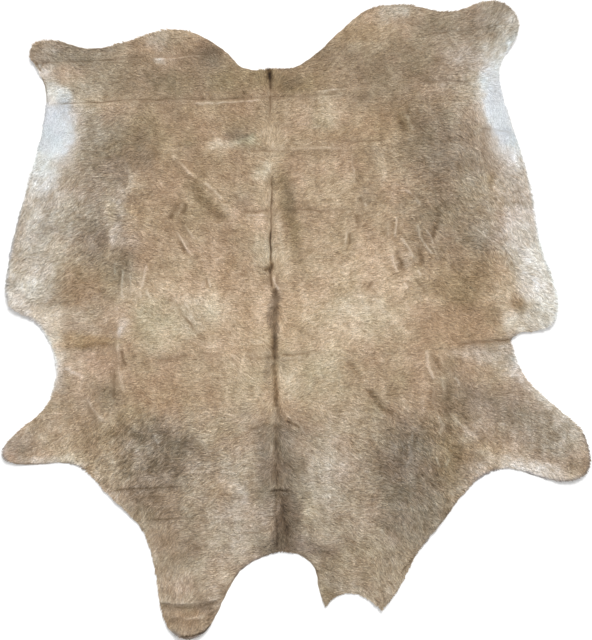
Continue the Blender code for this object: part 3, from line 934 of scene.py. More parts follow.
    ("shoulder left soot", UMBER, -401, -420, 67, 27, 28, 10),
    ("withers left olive", OLIVE, -281, -373, 47, 30, 30),
    ("shoulder right olive", OLIVE, 259, -303, 40, 30, 50),
    ("shoulder right soot", UMBER, 339, -440, 60, 47, 30),
    ("shoulder right heart", UMBER, 359, -373, 53, 47, 18),
    ("shoulder right mist", SILVER, 593, -500, 47, 27, 45, 10),
    ("shoulder right bronze", OLIVE, 646, -427, 40, 30, 40),
    ("armpit right mist", SILVER, 719, -147, 30, 67, 60, 8),
    ("fore shank right veil", SILVER, 899, -400, 47, 47, 25),
    ("armpit right edge", IVORY, 799, -247, 147, 20, 50, -36),
    ("fore shank right rim", IVORY, 879, -333, 87, 23, 45, -40),
    ("fore shank right sheen", SILVER, 606, -107, 100, 27, 20),
    ("neck left honey", HONEY, -401, -593, 87, 40, 22),
    ("neck left sand", SAND, -241, -563, 50, 43, 40),
    ("neck flap cream", CREAM, -247, -847, 47, 33, 45, -40),
    ("neck flap rosy", ROSE, -374, -867, 53, 47, 35),
    ("neck flap mist", SILVER, -394, -920, 60, 33, 20),
    ("neck flap keel", MOSS, -347, -1040, 73, 17, 55),
    ("neck right olive", OLIVE, 113, -907, 27, 47, 50, 20),
    ("neck right soot", SLATE, 379, -700, 40, 87, 40, 35),
    ("neck right bronze", OLIVE, 219, -820, 87, 73, 25),
    ("neck right mist", SILVER, 196, -907, 53, 27, 15),
    # small clouds and lights
    ("back spine umber", UMBER, -177, 403, 30, 30, 26),
    ("loin shade left", UMBER, -167, -313, 33, 40, 25),
    ("withers shade", UMBER, -91, -160, 17, 53, 30),
    ("thigh left band", SAND, -681, 723, 113, 27, 50),
    ("thigh left silver", SILVER, -734, 700, 40, 40, 35),
    ("rump left cream", CREAM, -734, 800, 53, 27, 35, -6),
    ("flank left shade", UMBER, -667, 313, 33, 40, 28),
    ("flank left shade two", UMBER, -844, 287, 30, 30, 24),
    ("flank left shade three", UMBER, -611, 527, 33, 30, 20),
    ("belly left shade", SLATE, -927, 127, 23, 27, 40),
    ("shoulder left gleam", SILVER, -567, -437, 30, 30, 35),
    ("neck left shade", UMBER, -367, -873, 40, 30, 22),
    ("shoulder left silver", SILVER, -327, -473, 30, 30, 30),
    ("flank left gleam", SILVER, -767, 327, 27, 30, 28),
    ("flank right gleam two", SILVER, 713, 267, 30, 80, 30, 12),
    ("neck right gleam", SILVER, 553, -553, 30, 30, 35),
    ("back left shade", UMBER, -201, 607, 40, 20, 35),
    ("rump right shade", UMBER, 106, 903, 73, 40, 28, -25),
    ("loin left gleam", CREAM, -131, 193, 23, 47, 55),
    ("middle left cream", CREAM, -354, -20, 87, 30, 50, 4),
    ("flank right silver", SILVER, 733, 440, 30, 113, 50, 12),
    ("neck right shade", UMBER, 333, -673, 53, 53, 30),
    ("neck right shade low", SLATE, 316, -750, 33, 47, 35),
    ("shoulder shade right", UMBER, 233, -473, 30, 33, 25),
    ("shoulder shade upper", UMBER, 273, -313, 30, 33, 20),
    ("back shade right", UMBER, 239, 410, 33, 33, 20),
    ("rump shade right", UMBER, 273, 567, 30, 27, 20),
    ("flank shade right", UMBER, 593, 247, 37, 30, 20),
    ("flank silver right", SILVER, 633, 407, 27, 40, 35),
    ("thigh silver right", SILVER, 479, 527, 37, 33, 30),
    ("neck cream beside spine", CREAM, 36, -640, 33, 73, 50),
    ("neck foot shade", UMBER, -47, -750, 87, 20, 34),
    # the white fringe along the belly
    ("fringe left", SNOW, -900, 380, 100, 380, 75, -9, 3, 6),
    ("fringe left elbow", SNOW, -800, -50, 120, 200, 75, 0, 3, 6),
    ("fringe right", SNOW, 790, 340, 100, 420, 75, 12, 3, 6),
    ("fringe fore shank", SNOW, 780, -540, 200, 60, 60, -8, 3, 6),
    # the faintest clouds and lights
    ("neck notch shade", UMBER, 3, -763, 120, 30, 95, 4),
    ("rump left brow", UMBER, -297, 880, 47, 53, 45, 40),
    ("rump left brow far", UMBER, -597, 917, 43, 20, 26),
    ("belly left gleam", IVORY, -901, 20, 33, 30, 85),
    ("fore shank right gleam", IVORY, 843, -527, 60, 23, 60, 4),
    ("neck flap right shade", UMBER, 123, -873, 27, 67, 30),
    ("rump right gleam", IVORY, 369, 1040, 30, 20, 55, 10),
    ("hind left gleam", SILVER, -827, 813, 30, 60, 45, 15),
    ("flank right gleam three", IVORY, 726, 300, 33, 167, 46, 13),
    ("neck right shade far", UMBER, 363, -560, 37, 50, 24),
    ("neck flap left shade", UMBER, -294, -973, 33, 53, 28, 20),
    ("rump left shade", UMBER, -417, 683, 33, 30, 22),
    ("thigh left shade", UMBER, -587, 647, 43, 47, 20),
    ("flank left shade five", UMBER, -597, 453, 30, 47, 24),
    ("back spine left shade", UMBER, -57, -163, 27, 33, 26),
    ("back right gleam", CREAM, 3, -230, 37, 43, 45),
    ("arm right shade", UMBER, 483, -343, 30, 33, 24),
    ("rump notch shade", UMBER, 93, 857, 57, 27, 24, -20),
    ("loin left gleam two", SAND, -177, 313, 33, 37, 40),
    ("loin right shade", UMBER, 543, 197, 30, 37, 22),
    ("elbow right silver", IVORY, 713, -27, 40, 47, 40),
    ("shoulder left shade", UMBER, -657, -467, 33, 27, 24),
    ("fore shank shade", UMBER, 603, -460, 30, 30, 22),
    ("fore shank silver", SILVER, 599, -530, 37, 27, 45),
    ("neck left gleam", SILVER, -177, -587, 30, 40, 40),
    ("neck left far shade", UMBER, -417, -820, 27, 43, 22),
    ("flank right gleam four", IVORY, 779, 100, 30, 60, 55, 12),
    ("thigh left frost", FROST, -777, 707, 33, 50, 90),
    ("rump left shade two", UMBER, -444, 797, 57, 27, 20),
    ("flank left shade six", UMBER, -657, 257, 30, 93, 18),
    ("rib left shade", UMBER, -537, 257, 27, 30, 20),
    ("back left shade two", UMBER, -177, 587, 30, 50, 18),
    ("elbow right shade", UMBER, 603, -223, 30, 30, 20),
    ("shoulder left silver two", SILVER, -607, -403, 30, 30, 28),
    ("thigh right frost", FROST, 713, 620, 37, 30, 85),
    ("back right shade two", UMBER, 363, 377, 27, 30, 18),
    ("loin right gleam", SILVER, 363, 197, 27, 27, 22),
    ("middle left pearl", CREAM, -354, 0, 27, 50, 55),
    ("middle left pearl two", CREAM, -477, -103, 27, 27, 32),
    ("fore shank left shade", UMBER, -837, -343, 30, 30, 18),
    ("withers spine shade", UMBER, -57, -343, 27, 37, 22),
    ("neck left silver", SILVER, -297, -463, 30, 30, 22),
    ("neck flap left dusk", UMBER, -357, -763, 30, 40, 20),
    ("neck right dusk", UMBER, 303, -823, 30, 40, 20),
    ("rump right shade two", UMBER, 183, 887, 33, 50, 18),
    ("rump right lichen", SILVER, 519, 813, 80, 40, 20),
    ("neck left dusk", UMBER, -531, -403, 30, 33, 24),
    ("back left dusk", UMBER, -357, 557, 30, 33, 18),
    ("elbow left dusk", UMBER, -717, -283, 33, 30, 20),
    ("neck flap right dusk", UMBER, 303, -940, 30, 27, 22),
    ("neck flap left end", UMBER, -417, -1003, 33, 27, 22),
    ("rump right dusk", UMBER, 423, 977, 33, 30, 18),
    ("rump left dusk", UMBER, -417, 917, 40, 30, 18),
    ("belly left haze", SILVER, -834, 7, 80, 53, 22),
    ("elbow left silver", SILVER, -777, -193, 27, 50, 22),
    ("thigh right silver two", SILVER, 603, 483, 30, 53, 22),
    ("elbow right dusk", UMBER, 723, -227, 27, 27, 18),
    ("flank right dusk", UMBER, 603, 227, 27, 47, 18),
    # the edge: painted shade and painted shadow where it turns up, and painted light where the light
    # catches it
    ("rim neck notch", PAINTED_SHADOW, -114, -800, 87, 40, 50, 25, 3, 7),
    ("rim neck flap tip", PAINTED_SHADOW, -347, -1053, 93, 27, 95, 0, 3, 9),
    ("rim neck flap", PAINTED_SHADOW, -177, -840, 33, 100, 60, -35, 3, 7),
    ("rim neck right", PAINTED_SHADOW, 519, -700, 47, 207, 50, -37, 3, 7),
    ("rim fore shank right tip", PAINTED_SHADOW, 973, -440, 27, 100, 50, 0, 3, 7),
    ("rim fore shank right", PAINTED_SHADOW, 786, -520, 200, 40, 80, 0, 3, 7),
    ("rim belly right", PAINTED_SHADOW, 813, -33, 87, 40, 15, 0, 3, 7),
    ("rim armpit right", PAINTED_SHADOW, 719, -63, 27, 27, 50, 0, 3, 8),
    ("rim fore shank left tip", PAINTED_SHADOW, -974, -450, 27, 53, 55, 0, 3, 7),
    ("rim fore shank left", PAINTED_SHADOW, -847, -490, 153, 27, 60, 0, 3, 7),
    ("rim belly left", PAINTED_SHADOW, -894, 20, 100, 47, 30, -24, 3, 7),
    ("rim flank left", PAINTED_SHADOW, -934, 213, 47, 187, 40, 0, 3, 7),
    ("rim thigh left", PAINTED_SHADOW, -847, 667, 40, 113, 30, 0, 3, 7),
    ("glint hind right", SNOW, 709, 913, 20, 57, 80, -30, 2),
    ("glint hind left", IVORY, -847, 827, 17, 47, 60, -35, 2),
    ("glint belly right", IVORY, 796, -33, 60, 17, 50, 14, 2),
    ("glint elbow right", IVORY, 756, -127, 87, 23, 90, -54, 2, 16),
    ("glint belly left", IVORY, -934, 47, 40, 27, 70, 30, 2),
    ("rim tail left", UMBER, -261, 873, 73, 80, 30, 0, 3, 7),
    ("rim tail right", UMBER, 33, 860, 87, 60, 42, 0, 3, 8),
    ("rim rump right", UMBER, 329, 1033, 233, 53, 26, 0, 3, 7),
    ("rim hind right top", UMBER, 696, 1027, 73, 47, 25, 0, 3, 7),
    ("rim neck notch right", UMBER, 53, -787, 60, 60, 42, 0, 3, 8),
    ("rim neck scoop", UMBER, 106, -900, 47, 87, 30, 0, 3, 8),
    ("rim neck corner", UMBER, 306, -913, 47, 47, 30, 0, 3, 8),
    # the dark middle of the neck
    ("whorl", SLATE, -51, -390, 87, 33, 50),
    ("neck band left", SLATE, -114, -507, 30, 113, 90, 3),
    ("neck band left top", UMBER, -114, -420, 30, 50, 34),
    ("neck band right top", UMBER, -31, -380, 27, 30, 34),
    ("neck band left low", GREY, -114, -683, 27, 87, 50),
    ("neck band left shade", SLATE, -87, -600, 23, 73, 55),
    ("neck band upper", SLATE, -54, -453, 43, 113, 70),
    ("neck band right", SLATE, -1, -547, 40, 87, 60),
    ("neck band right low", MOSS, 13, -727, 53, 87, 35),
    ("neck band core", UMBER, -31, -690, 40, 140, 78, 0, 3),
    ("neck band skirt", GREY, 13, -750, 47, 73, 55, -20),
    ("neck band brown", UMBER, -51, -500, 40, 107, 45),
    ("back band warm", UMBER, -69, -7, 17, 133, 50, 0, 3),
    ("withers band warm", OLIVE, -67, -213, 15, 80, 40, 0, 3),
))


@dataclass(frozen=True)
class CoatPattern:
    """The coat's colour at any place, with the painted light and shade of the folds, wrinkles and edge.
    """

    patches: tuple[Patch, ...] = PATCHES
    gain: float = 1.08
    wander: float = 0.007
    blotches: float = 0.030
    ripples: float = 0.022
    streaks: float = 0.030
    tint: float = 0.13

    WANDER = (Mottle(21, 0.110, 4), Mottle(22, 0.110, 4))
    BLOTCHES = Mottle(23, 0.050, 3)
    TINT = Mottle(24, 0.085, 3)
    STREAKS = Mottle(25, 0.0038, 2)
    STREAK_REACH = 0.006
    RIPPLES = Mottle(26, 0.020, 3)
    RIPPLE_STRETCH = (1.0, 0.40)
    TINT_LIMIT = 1.6
    TINT_SHARE = 0.5  # of the way from lichen to rose
    LIGHTS = (0.25, 1.3)  # the darkest and the lightest that a place gets
    WHITEST = 0.92
    DEEPENING = (0.82, 1.0, 1.28)  # of red, green and blue, where the hair is darker

    def colour(self, spot: "Survey") -> Array:
        """Works out the coat's colour.

        Args:
            spot: the survey of the places.

        Returns:
            Red, green and blue, linear, one row each.
        """
        places = spot.places
        strayed = places + self.wander * np.stack([m.at(places) for m in self.WANDER], 1)
        colour = np.tile(np.array(TAN.value, float), (len(places), 1))
        for patch in self.patches:
            weight = patch.weight(strayed / MM, spot.depth / MM)[:, None]
            colour += weight * (np.array(patch.fur.value, float) - colour)
        tint = np.clip(self.TINT.at(places), -self.TINT_LIMIT, self.TINT_LIMIT)
        rose, lichen = np.array(ROSE.value, float), np.array(LICHEN.value, float)
        warm = (rose - lichen) * self.TINT_SHARE
        colour += self.tint * tint[:, None] * warm
        varied = self.blotches * self.BLOTCHES.at(places)
        varied += self.ripples * self.RIPPLES.at(places * self.RIPPLE_STRETCH)
        varied += self.streaks * self.STREAKS.combed(places, spot.heading, self.STREAK_REACH)
        # the hair's own tone, with the painted light and painted shade of the creases added
        light = 1.0 + spot.hair.contrast * varied + spot.shade
        light = np.clip(light, *self.LIGHTS)[:, None] ** np.array(self.DEEPENING)
        return np.minimum(self.gain * linear(colour * light), self.WHITEST)


# ---------------- the way the hair lies


@dataclass(frozen=True)
class Comb:
    """The way that the hair lies near one place, on both sides of the spine alike.

    name says where it is. out is the distance from the spine and y the place along it. heading
    is in degrees from straight out, positive towards the rump.
    """

    name: str
    out: float
    y: float
    heading: float
    reach: float = 0.16


COMBS = tuple(Comb(*row) for row in (
    ("tail head", 0, 0.8, 86, 0.03),
    ("rump spine", 0, 0.62, 84, 0.03),
    ("loin spine", 0, 0.4, 84, 0.03),
    ("back spine", 0, 0.2, 84, 0.03),
    ("back spine front", 0, 0, -84, 0.03),
    ("withers spine", 0, -0.18, -84, 0.03),
    ("whorl back", 0, -0.28, -84, 0.03),
    ("whorl", 0.05, -0.35, -28, 0.05),
    ("whorl side", 0.12, -0.4, -20, 0.07),
    ("whorl front", 0, -0.42, -84, 0.04),
    ("neck spine upper", 0, -0.52, -84, 0.04),
    ("neck spine lower", 0, -0.7, -86, 0.04),
    ("neck beside", 0.1, -0.56, -12, 0.08),
    ("neck beside lower", 0.1, -0.74, -8, 0.08),
    ("neck", 0.25, -0.62, -12),
    ("neck outer", 0.42, -0.7, -58, 0.1),
    ("neck flap inner", 0.21, -0.86, -14, 0.1),
    ("neck flap", 0.37, -0.9, -72, 0.1),
    ("shoulder inner", 0.2, -0.42, -14),
    ("shoulder", 0.4, -0.42, -28),
    ("shoulder outer", 0.55, -0.46, -38),
    ("fore shank", 0.78, -0.42, -28),
    ("elbow", 0.62, -0.18, -22),
    ("elbow notch", 0.75, -0.1, -6),
    ("withers beside", 0.1, -0.18, 24, 0.09),
    ("back front", 0.12, 0.02, 14, 0.1),
    ("back", 0.12, 0.25, 12, 0.1),
    ("back rear", 0.12, 0.45, 12, 0.1),
    ("rib", 0.38, 0.1, 10),
    ("rib front", 0.38, -0.12, 4),
    ("rib rear", 0.38, 0.35, 8),
    ("belly", 0.62, 0.05, -18),
    ("belly outer", 0.85, 0.12, -34),
    ("flank", 0.62, 0.32, -30),
    ("flank outer", 0.8, 0.38, -52),
    ("thigh low", 0.72, 0.52, -50, 0.12),
    ("thigh pale", 0.72, 0.66, -66, 0.1),
    ("thigh", 0.5, 0.55, -14),
    ("rump beside", 0.12, 0.7, 18, 0.1),
    ("rump", 0.32, 0.74, 4),
    ("rump outer", 0.55, 0.8, 4),
    ("rump edge", 0.3, 0.9, 20, 0.1),
    ("hind shank", 0.76, 0.92, 38, 0.12),
))

SPINE_PATH: tuple[Point, ...] = (
    (-0.092, 1.000), (-0.091, 0.847), (-0.087, 0.600), (-0.086, 0.300), (-0.080, 0.160),
    (-0.069, 0.060), (-0.070, -0.080), (-0.065, -0.200), (-0.061, -0.350), (-0.064, -0.500),
    (-0.050, -0.640), (-0.045, -0.780), (-0.040, -1.100),
)


@dataclass(frozen=True)
class HairFlow:
    """The direction that the hair lies in, from the combs."""

    combs: tuple[Comb, ...] = COMBS
    spine: tuple[Point, ...] = SPINE_PATH
    waver: float = 9.0
    swirl: float = 7.0

    WAVER = Mottle(31, 0.045, 3)
    SWIRL = Mottle(32, 0.014, 2)
    SPINE_BLEND = 0.012
    SOFTENING = 0.03  # of a comb's weight, which would have no limit at its own place

    def heading(self, places: Array) -> Array:
        """Gives the direction that the hair lies in.

        Args:
            places: x and y, one row each.

        Returns:
            A unit direction a row.
        """
        ys = np.array([p[1] for p in self.spine])[::-1]
        xs = np.array([p[0] for p in self.spine])[::-1]
        out = places[:, 0] - np.interp(places[:, 1], ys, xs)
        side = np.tanh(out / self.SPINE_BLEND)
        combed = np.stack([np.abs(out), places[:, 1]], 1)
        total = np.zeros((len(places), 2))
        for comb in self.combs:
            distance2 = ((combed - (comb.out, comb.y)) ** 2).sum(1)
            weight = 1.0 / (distance2 / comb.reach**2 + self.SOFTENING) ** 2
            turn = math.radians(comb.heading)
            total[:, 0] += weight * math.cos(turn) * side
            total[:, 1] += weight * math.sin(turn)
        angle = np.arctan2(total[:, 1], total[:, 0])
        angle += np.radians(self.waver * self.WAVER.at(places) + self.swirl * self.SWIRL.at(places))
        return np.stack([np.cos(angle), np.sin(angle)], 1)


# ---------------- how the hair grows


@dataclass(frozen=True)
class HairZone:
    """A part of the hide with hair of its own kind, fading out over along and across.

    length and lift are in metres, waver is how far tufts turn from the comb, in degrees, and
    contrast how far tufts differ in tone, with 1 for the short sleek hair of the back.
    """

    name: str
    x: float
    y: float
    along: float
    across: float
    length: float
    lift: float
    waver: float
    contrast: float

    EDGE = 1.5  # as in Patch

    def weight(self, places: Array) -> Array:
        """Gives how far the zone's own kind holds at each place, from 0 to 1."""
        offset = (places - (self.x, self.y)) / (self.along, self.across)
        return np.exp(-((offset**2).sum(1) ** self.EDGE))


HAIR_ZONES = tuple(HairZone(*row) for row in (
    ("neck", 0, -0.78, 0.8, 0.42, 0.014, 0.0016, 7, 1.15),
    ("shoulder left", -0.5, -0.46, 0.3, 0.17, 0.0165, 0.0019, 8, 1.75),
    ("shoulder right", 0.46, -0.48, 0.24, 0.2, 0.0165, 0.0019, 8, 1.75),
    ("fore shank left", -0.82, -0.4, 0.2, 0.14, 0.0105, 0.0011, 6, 1.25),
    ("fore shank right", 0.76, -0.42, 0.24, 0.14, 0.0105, 0.0011, 6, 1.3),
    ("flank left", -0.68, 0.38, 0.2, 0.32, 0.0155, 0.0018, 9, 1.35),
    ("flank right", 0.58, 0.45, 0.24, 0.36, 0.016, 0.0019, 9, 1.45),
    ("belly left", -0.9, 0.2, 0.12, 0.3, 0.017, 0.0019, 8, 1.05),
    ("belly right", 0.8, 0.2, 0.12, 0.3, 0.017, 0.0019, 8, 1.05),
    ("pale thigh left", -0.81, 0.62, 0.08, 0.14, 0.0085, 0.0007, 4, 0.12),
    ("pale thigh right", 0.69, 0.7, 0.08, 0.18, 0.0085, 0.0007, 4, 0.12),
    ("hind shank left", -0.8, 0.92, 0.14, 0.06, 0.015, 0.0016, 7, 1.2),
    ("hind shank right", 0.66, 1, 0.14, 0.08, 0.017, 0.0018, 7, 1.2),
    ("elbow left", -0.78, -0.08, 0.1, 0.16, 0.015, 0.0016, 6, 0.9),
    ("spine of the neck", -0.05, -0.6, 0.05, 0.24, 0.018, 0.0022, 4, 1.25),
    ("tail head", -0.09, 0.825, 0.012, 0.03, 0.024, 0.005, 0, 1),
))


@dataclass(frozen=True)
class HairKind:
    """The hair at a set of places, one value a row in each field, as in HairZone."""

    length: Array
    lift: Array
    waver: Array
    contrast: Array


@dataclass(frozen=True)
class HairGrowth:
    """The kind of hair at any place: the sleek short hair of the back, and the zones."""

    length: float = 0.0118
    lift: float = 0.0011
    waver: float = 8.0
    contrast: float = 1.0
    zones: tuple[HairZone, ...] = HAIR_ZONES

    def at(self, places: Array) -> HairKind:
        """Reads the kind of hair.

        Args:
            places: x and y, one row each.

        Returns:
            The kind at each place.
        """
        fields = ("length", "lift", "waver", "contrast")
        values = {name: np.full(len(places), getattr(self, name)) for name in fields}
        for zone in self.zones:
            weight = zone.weight(places)
            for name, value in values.items():
                value += weight * (getattr(zone, name) - value)
        return HairKind(**values)


@dataclass(frozen=True)
class Survey:
    """What the hide is like at a set of places, one row each.

    heading is the way that the hair lies, depth the distance from the hide's edge, and rise,
    shade and pressed are what the creases do, as CreaseWork reads them; shade holds their
    painted light and painted shade.
    """

    places: Array
    heading: Array
    depth: Array
    rise: Array
    shade: Array
    pressed: Array
    hair: HairKind


@dataclass(frozen=True)
class HideMap:
    """Everything that is known of the hide by place."""

    form: HideForm
    creases: CreaseWork
    flow: HairFlow
    growth: HairGrowth

    def survey(self, places: Array, heading: Array | None = None) -> Survey:
        """Reads the whole map.

        Args:
            places: x and y, one row each.
            heading: the way that the hair lies there, or None to read that too.

        Returns:
            The survey of the places.
        """
        rise, shade, pressed = self.creases.read(places)
        if heading is None:
            heading = self.flow.heading(places)
        return Survey(places, heading, self.form.depth.at(places), rise, shade, pressed,
                      self.growth.at(places))


# ---------------- meshes


def mesh_piece(
    name: str, points: Array, faces: Array, materials: Sequence[Material], slots: Array | None = None
) -> Piece:
    """Makes an object from triangles, at the origin.

    Args:
        name: the piece's name.
        points: x, y and z, one row each.
        faces: three point numbers a row, anticlockwise seen from outside.
        materials: the piece's materials.
        slots: the material of each face, or None for the first.

    Returns:
        The new object, shaded smooth.
    """
    mesh = bpy.data.meshes.new(name)
    mesh.vertices.add(len(points))
    mesh.vertices.foreach_set("co", np.ascontiguousarray(points, np.float32).ravel())
    mesh.loops.add(faces.size)
    mesh.loops.foreach_set("vertex_index", np.ascontiguousarray(faces, np.int32).ravel())
    mesh.polygons.add(len(faces))
    mesh.polygons.foreach_set("loop_start", np.arange(0, faces.size, 3, dtype=np.int32))
    for material in materials:
        mesh.materials.append(material)
    if slots is not None:
        mesh.polygons.foreach_set("material_index", np.ascontiguousarray(slots, np.int32))
    mesh.update(calc_edges=True)
    mesh.validate()
    mesh.shade_smooth()
    piece = bpy.data.objects.new(name, mesh)
    bpy.context.scene.collection.objects.link(piece)
    return piece


def paint(piece: Piece, name: str, colours: Array) -> None:
    """Stores colours on a piece for its material to read.

    Args:
        piece: the piece.
        name: the colours' name.
        colours: red, green and blue, linear, a row for each point.
    """
    layer = piece.data.color_attributes.new(name, "FLOAT_COLOR", "POINT")
    whole = np.ones((len(colours), 4), np.float32)
    whole[:, :3] = colours
    layer.data.foreach_set("color", whole.ravel())


def lay_map(piece: Piece, name: str, corners: Array) -> None:
    """Adds a UV map with a place for each face corner."""
    layer = piece.data.uv_layers.new(name=name)
    layer.data.foreach_set("uv", np.ascontiguousarray(corners, np.float32).ravel())


# ---------------- materials


class NodeSheet:
    """A material's node tree, with short ways to add to it.

    An input, by its name or number, is joined to the socket that it is given, or set to the value.
    """

    def __init__(self, name: str) -> None:
        """Starts a material that has only its Principled shader.

        Args:
            name: the material's name.
        """
        self.material = bpy.data.materials.new(name)
        self.material.use_nodes = True
        self.tree = self.material.node_tree
        self.shader = self.tree.nodes["Principled BSDF"]

    def _feed(self, node: bpy.types.Node, inputs: Inputs) -> None:
        """Gives a node its inputs.

        Args:
            node: the node.
            inputs: what each input is given.
        """
        for key, value in inputs.items():
            if isinstance(value, Socket):
                self.tree.links.new(value, node.inputs[key])
            else:
                node.inputs[key].default_value = value

    def add(self, kind: str, inputs: Inputs, **settings: str) -> bpy.types.Node:
        """Adds a node.

        Args:
            kind: the node's type.
            inputs: what each input is given.
            settings: the node's own properties.

        Returns:
            The node.
        """
        node = self.tree.nodes.new(kind)
        for key, value in settings.items():
            setattr(node, key, value)
        self._feed(node, inputs)
        return node

    def objects(self) -> Socket:
        """Gives the object's own coordinates."""
        return self.add("ShaderNodeTexCoord", {}).outputs["Object"]

    def attribute(self, name: str) -> Socket:
        """Gives the colour of a named attribute."""
        return self.add("ShaderNodeAttribute", {}, attribute_name=name).outputs["Color"]

    def noise(self, place: Socket, scale: float, detail: float) -> Socket:
        """Gives a noise from 0 to 1, read at a place."""
        inputs = {"Vector": place, "Scale": scale, "Detail": detail}
        return self.add("ShaderNodeTexNoise", inputs).outputs["Fac"]

    def spread(self, value: Socket, low: float, high: float) -> Socket:
        """Maps a value from 0..1 to low..high."""
        inputs = {"Value": value, "To Min": low, "To Max": high}
        return self.add("ShaderNodeMapRange", inputs).outputs["Result"]

    def scaled(self, colour: Socket, factor: Socket) -> Socket:
        """Multiplies a colour by a number."""
        inputs = {0: colour, "Scale": factor}
        return self.add("ShaderNodeVectorMath", inputs, operation="SCALE").outputs["Vector"]

    def bump(self, height: Socket, strength: float, distance: float) -> Socket:
        """Turns a height into a bumped normal."""
        inputs = {"Height": height, "Strength": strength, "Distance": distance}
        return self.add("ShaderNodeBump", inputs).outputs["Normal"]

    def mixed(self, share: Socket, low: Colour, high: Colour) -> Socket:
        """Mixes two colours.

        Args:
            share: how far the mix is from low to high.
            low: the colour at 0.
            high: the colour at 1.

        Returns:
            The mixed colour.
        """
        node = self.add("ShaderNodeMix", {"Factor": share}, data_type="RGBA")
        colours = [socket for socket in node.inputs if socket.type == "RGBA"]
        for socket, colour in zip(colours, (low, high)):
            socket.default_value = (*colour, 1.0)
        return next(socket for socket in node.outputs if socket.type == "RGBA")

    def finish(self, inputs: Inputs) -> Material:
        """Gives the shader its inputs, and the material back."""
        self._feed(self.shader, inputs)
        return self.material


# the coat's colour together with its painted light and painted shade, stored on the points
COLOUR_LAYER = "fur_colour_and_painted_shading"
STRAND_MAP = "strands"
BAKE_MAP = "OFBake"


@dataclass(frozen=True)
class HairFinish:
    """Short sleek cattle hair: each tuft shows strands, and has painted shade at its roots."""

    roughness: float = 0.58
    specular: float = 0.32
    sheen: float = 0.10
    sheen_roughness: float = 0.45
    # painted shade: how dark each tuft's colour is made at its root
    painted_root_shade: float = 0.80
    strand_scale: tuple[float, float, float] = (7.0, 0.7, 1.0)
    strand_detail: float = 2.0
    strand_shades: Span = (0.86, 1.14)
    strand_roughness: float = 0.08  # more and less than roughness
    grain_scale: float = 330.0
    grain_detail: float = 1.0
    grain_shades: Span = (0.62, 1.38)

    def make(self) -> Material:
        """Builds the material.

        Returns:
            The material.
        """
        sheet = NodeSheet("cattle_hair")
        strand_map = sheet.add("ShaderNodeUVMap", {}, uv_map=STRAND_MAP).outputs["UV"]
        stretch = sheet.add("ShaderNodeMapping", {"Vector": strand_map, "Scale": self.strand_scale})
        strands = sheet.noise(stretch.outputs["Vector"], 1.0, self.strand_detail)
        along = sheet.add("ShaderNodeSeparateXYZ", {"Vector": strand_map}).outputs["Y"]
        grain = sheet.noise(sheet.objects(), self.grain_scale, self.grain_detail)
        colour = sheet.attribute(COLOUR_LAYER)
        colour = sheet.scaled(colour, sheet.spread(grain, *self.grain_shades))
        colour = sheet.scaled(colour, sheet.spread(strands, *self.strand_shades))
        low, high = self.roughness - self.strand_roughness, self.roughness + self.strand_roughness
        return sheet.finish(
            {
                "Base Color": sheet.scaled(colour, sheet.spread(along, self.painted_root_shade, 1.0)),
                "Roughness": sheet.spread(strands, low, high),
                "Specular IOR Level": self.specular,
                "Sheen Weight": self.sheen,
                "Sheen Roughness": self.sheen_roughness,
            }
        )


@dataclass(frozen=True)
class GroundFinish:
    """The skin between the hairs: the coat's colour with its painted light and shade, darker, with the
    pores' grain.
    """

    roughness: float = 0.8
    shade: float = 0.72
    pore_scale: float = 900.0
    pore_detail: float = 3.0
    pore_shade: float = 0.15  # more and less than shade
    pore_bump: Span = (0.4, 0.0006)  # its strength, and its height in metres

    def make(self) -> Material:
        """Builds the material.

        Returns:
            The material.
        """
        sheet = NodeSheet("hair_ground")
        pores = sheet.noise(sheet.objects(), self.pore_scale, self.pore_detail)
        grain = sheet.spread(pores, self.shade - self.pore_shade, self.shade + self.pore_shade)
        colour = sheet.scaled(sheet.attribute(COLOUR_LAYER), grain)
        normal = sheet.bump(pores, *self.pore_bump)
        return sheet.finish({"Base Color": colour, "Normal": normal, "Roughness": self.roughness})


@dataclass(frozen=True)
class SuedeFinish:
    """The flesh side: pale napped leather with faint veins and darker drawn patches."""

    pale: Colour = (0.66, 0.57, 0.45)
    drawn: Colour = (0.50, 0.41, 0.30)
    roughness: float = 0.92
    nap_scale: float = 1400.0
    nap_detail: float = 2.0
    nap_shades: Span = (0.85, 1.15)
    nap_bump: Span = (0.5, 0.0005)
    cloud_scale: float = 7.0
    cloud_detail: float = 6.0
    vein_scale: float = 5.0
    vein_detail: float = 4.0
    vein_width: float = 0.035
    vein_shade: float = 0.86
    sheen: float = 0.25

    NOISE_MIDDLE = 0.5  # a vein runs where its noise crosses this

    def make(self) -> Material:
        """Builds the material.

        Returns:
            The material.
        """
        sheet = NodeSheet("flesh_side_suede")
        place = sheet.objects()
        clouds = sheet.noise(place, self.cloud_scale, self.cloud_detail)
        nap = sheet.noise(place, self.nap_scale, self.nap_detail)
        veins = sheet.noise(place, self.vein_scale, self.vein_detail)
        off = sheet.add("ShaderNodeMath", {0: veins, 1: self.NOISE_MIDDLE}, operation="SUBTRACT")
        away = sheet.add("ShaderNodeMath", {0: off.outputs["Value"]}, operation="ABSOLUTE")
        limits = {"From Max": self.vein_width, "To Min": self.vein_shade}
        vein = sheet.add(
            "ShaderNodeMapRange",
            {"Value": away.outputs["Value"], **limits},
            interpolation_type="SMOOTHSTEP",
        )
        colour = sheet.mixed(clouds, self.pale, self.drawn)
        colour = sheet.scaled(colour, sheet.spread(nap, *self.nap_shades))
        return sheet.finish(
            {
                "Base Color": sheet.scaled(colour, vein.outputs["Result"]),
                "Normal": sheet.bump(nap, *self.nap_bump),
                "Roughness": self.roughness,
                "Sheen Weight": self.sheen,
            }
        )


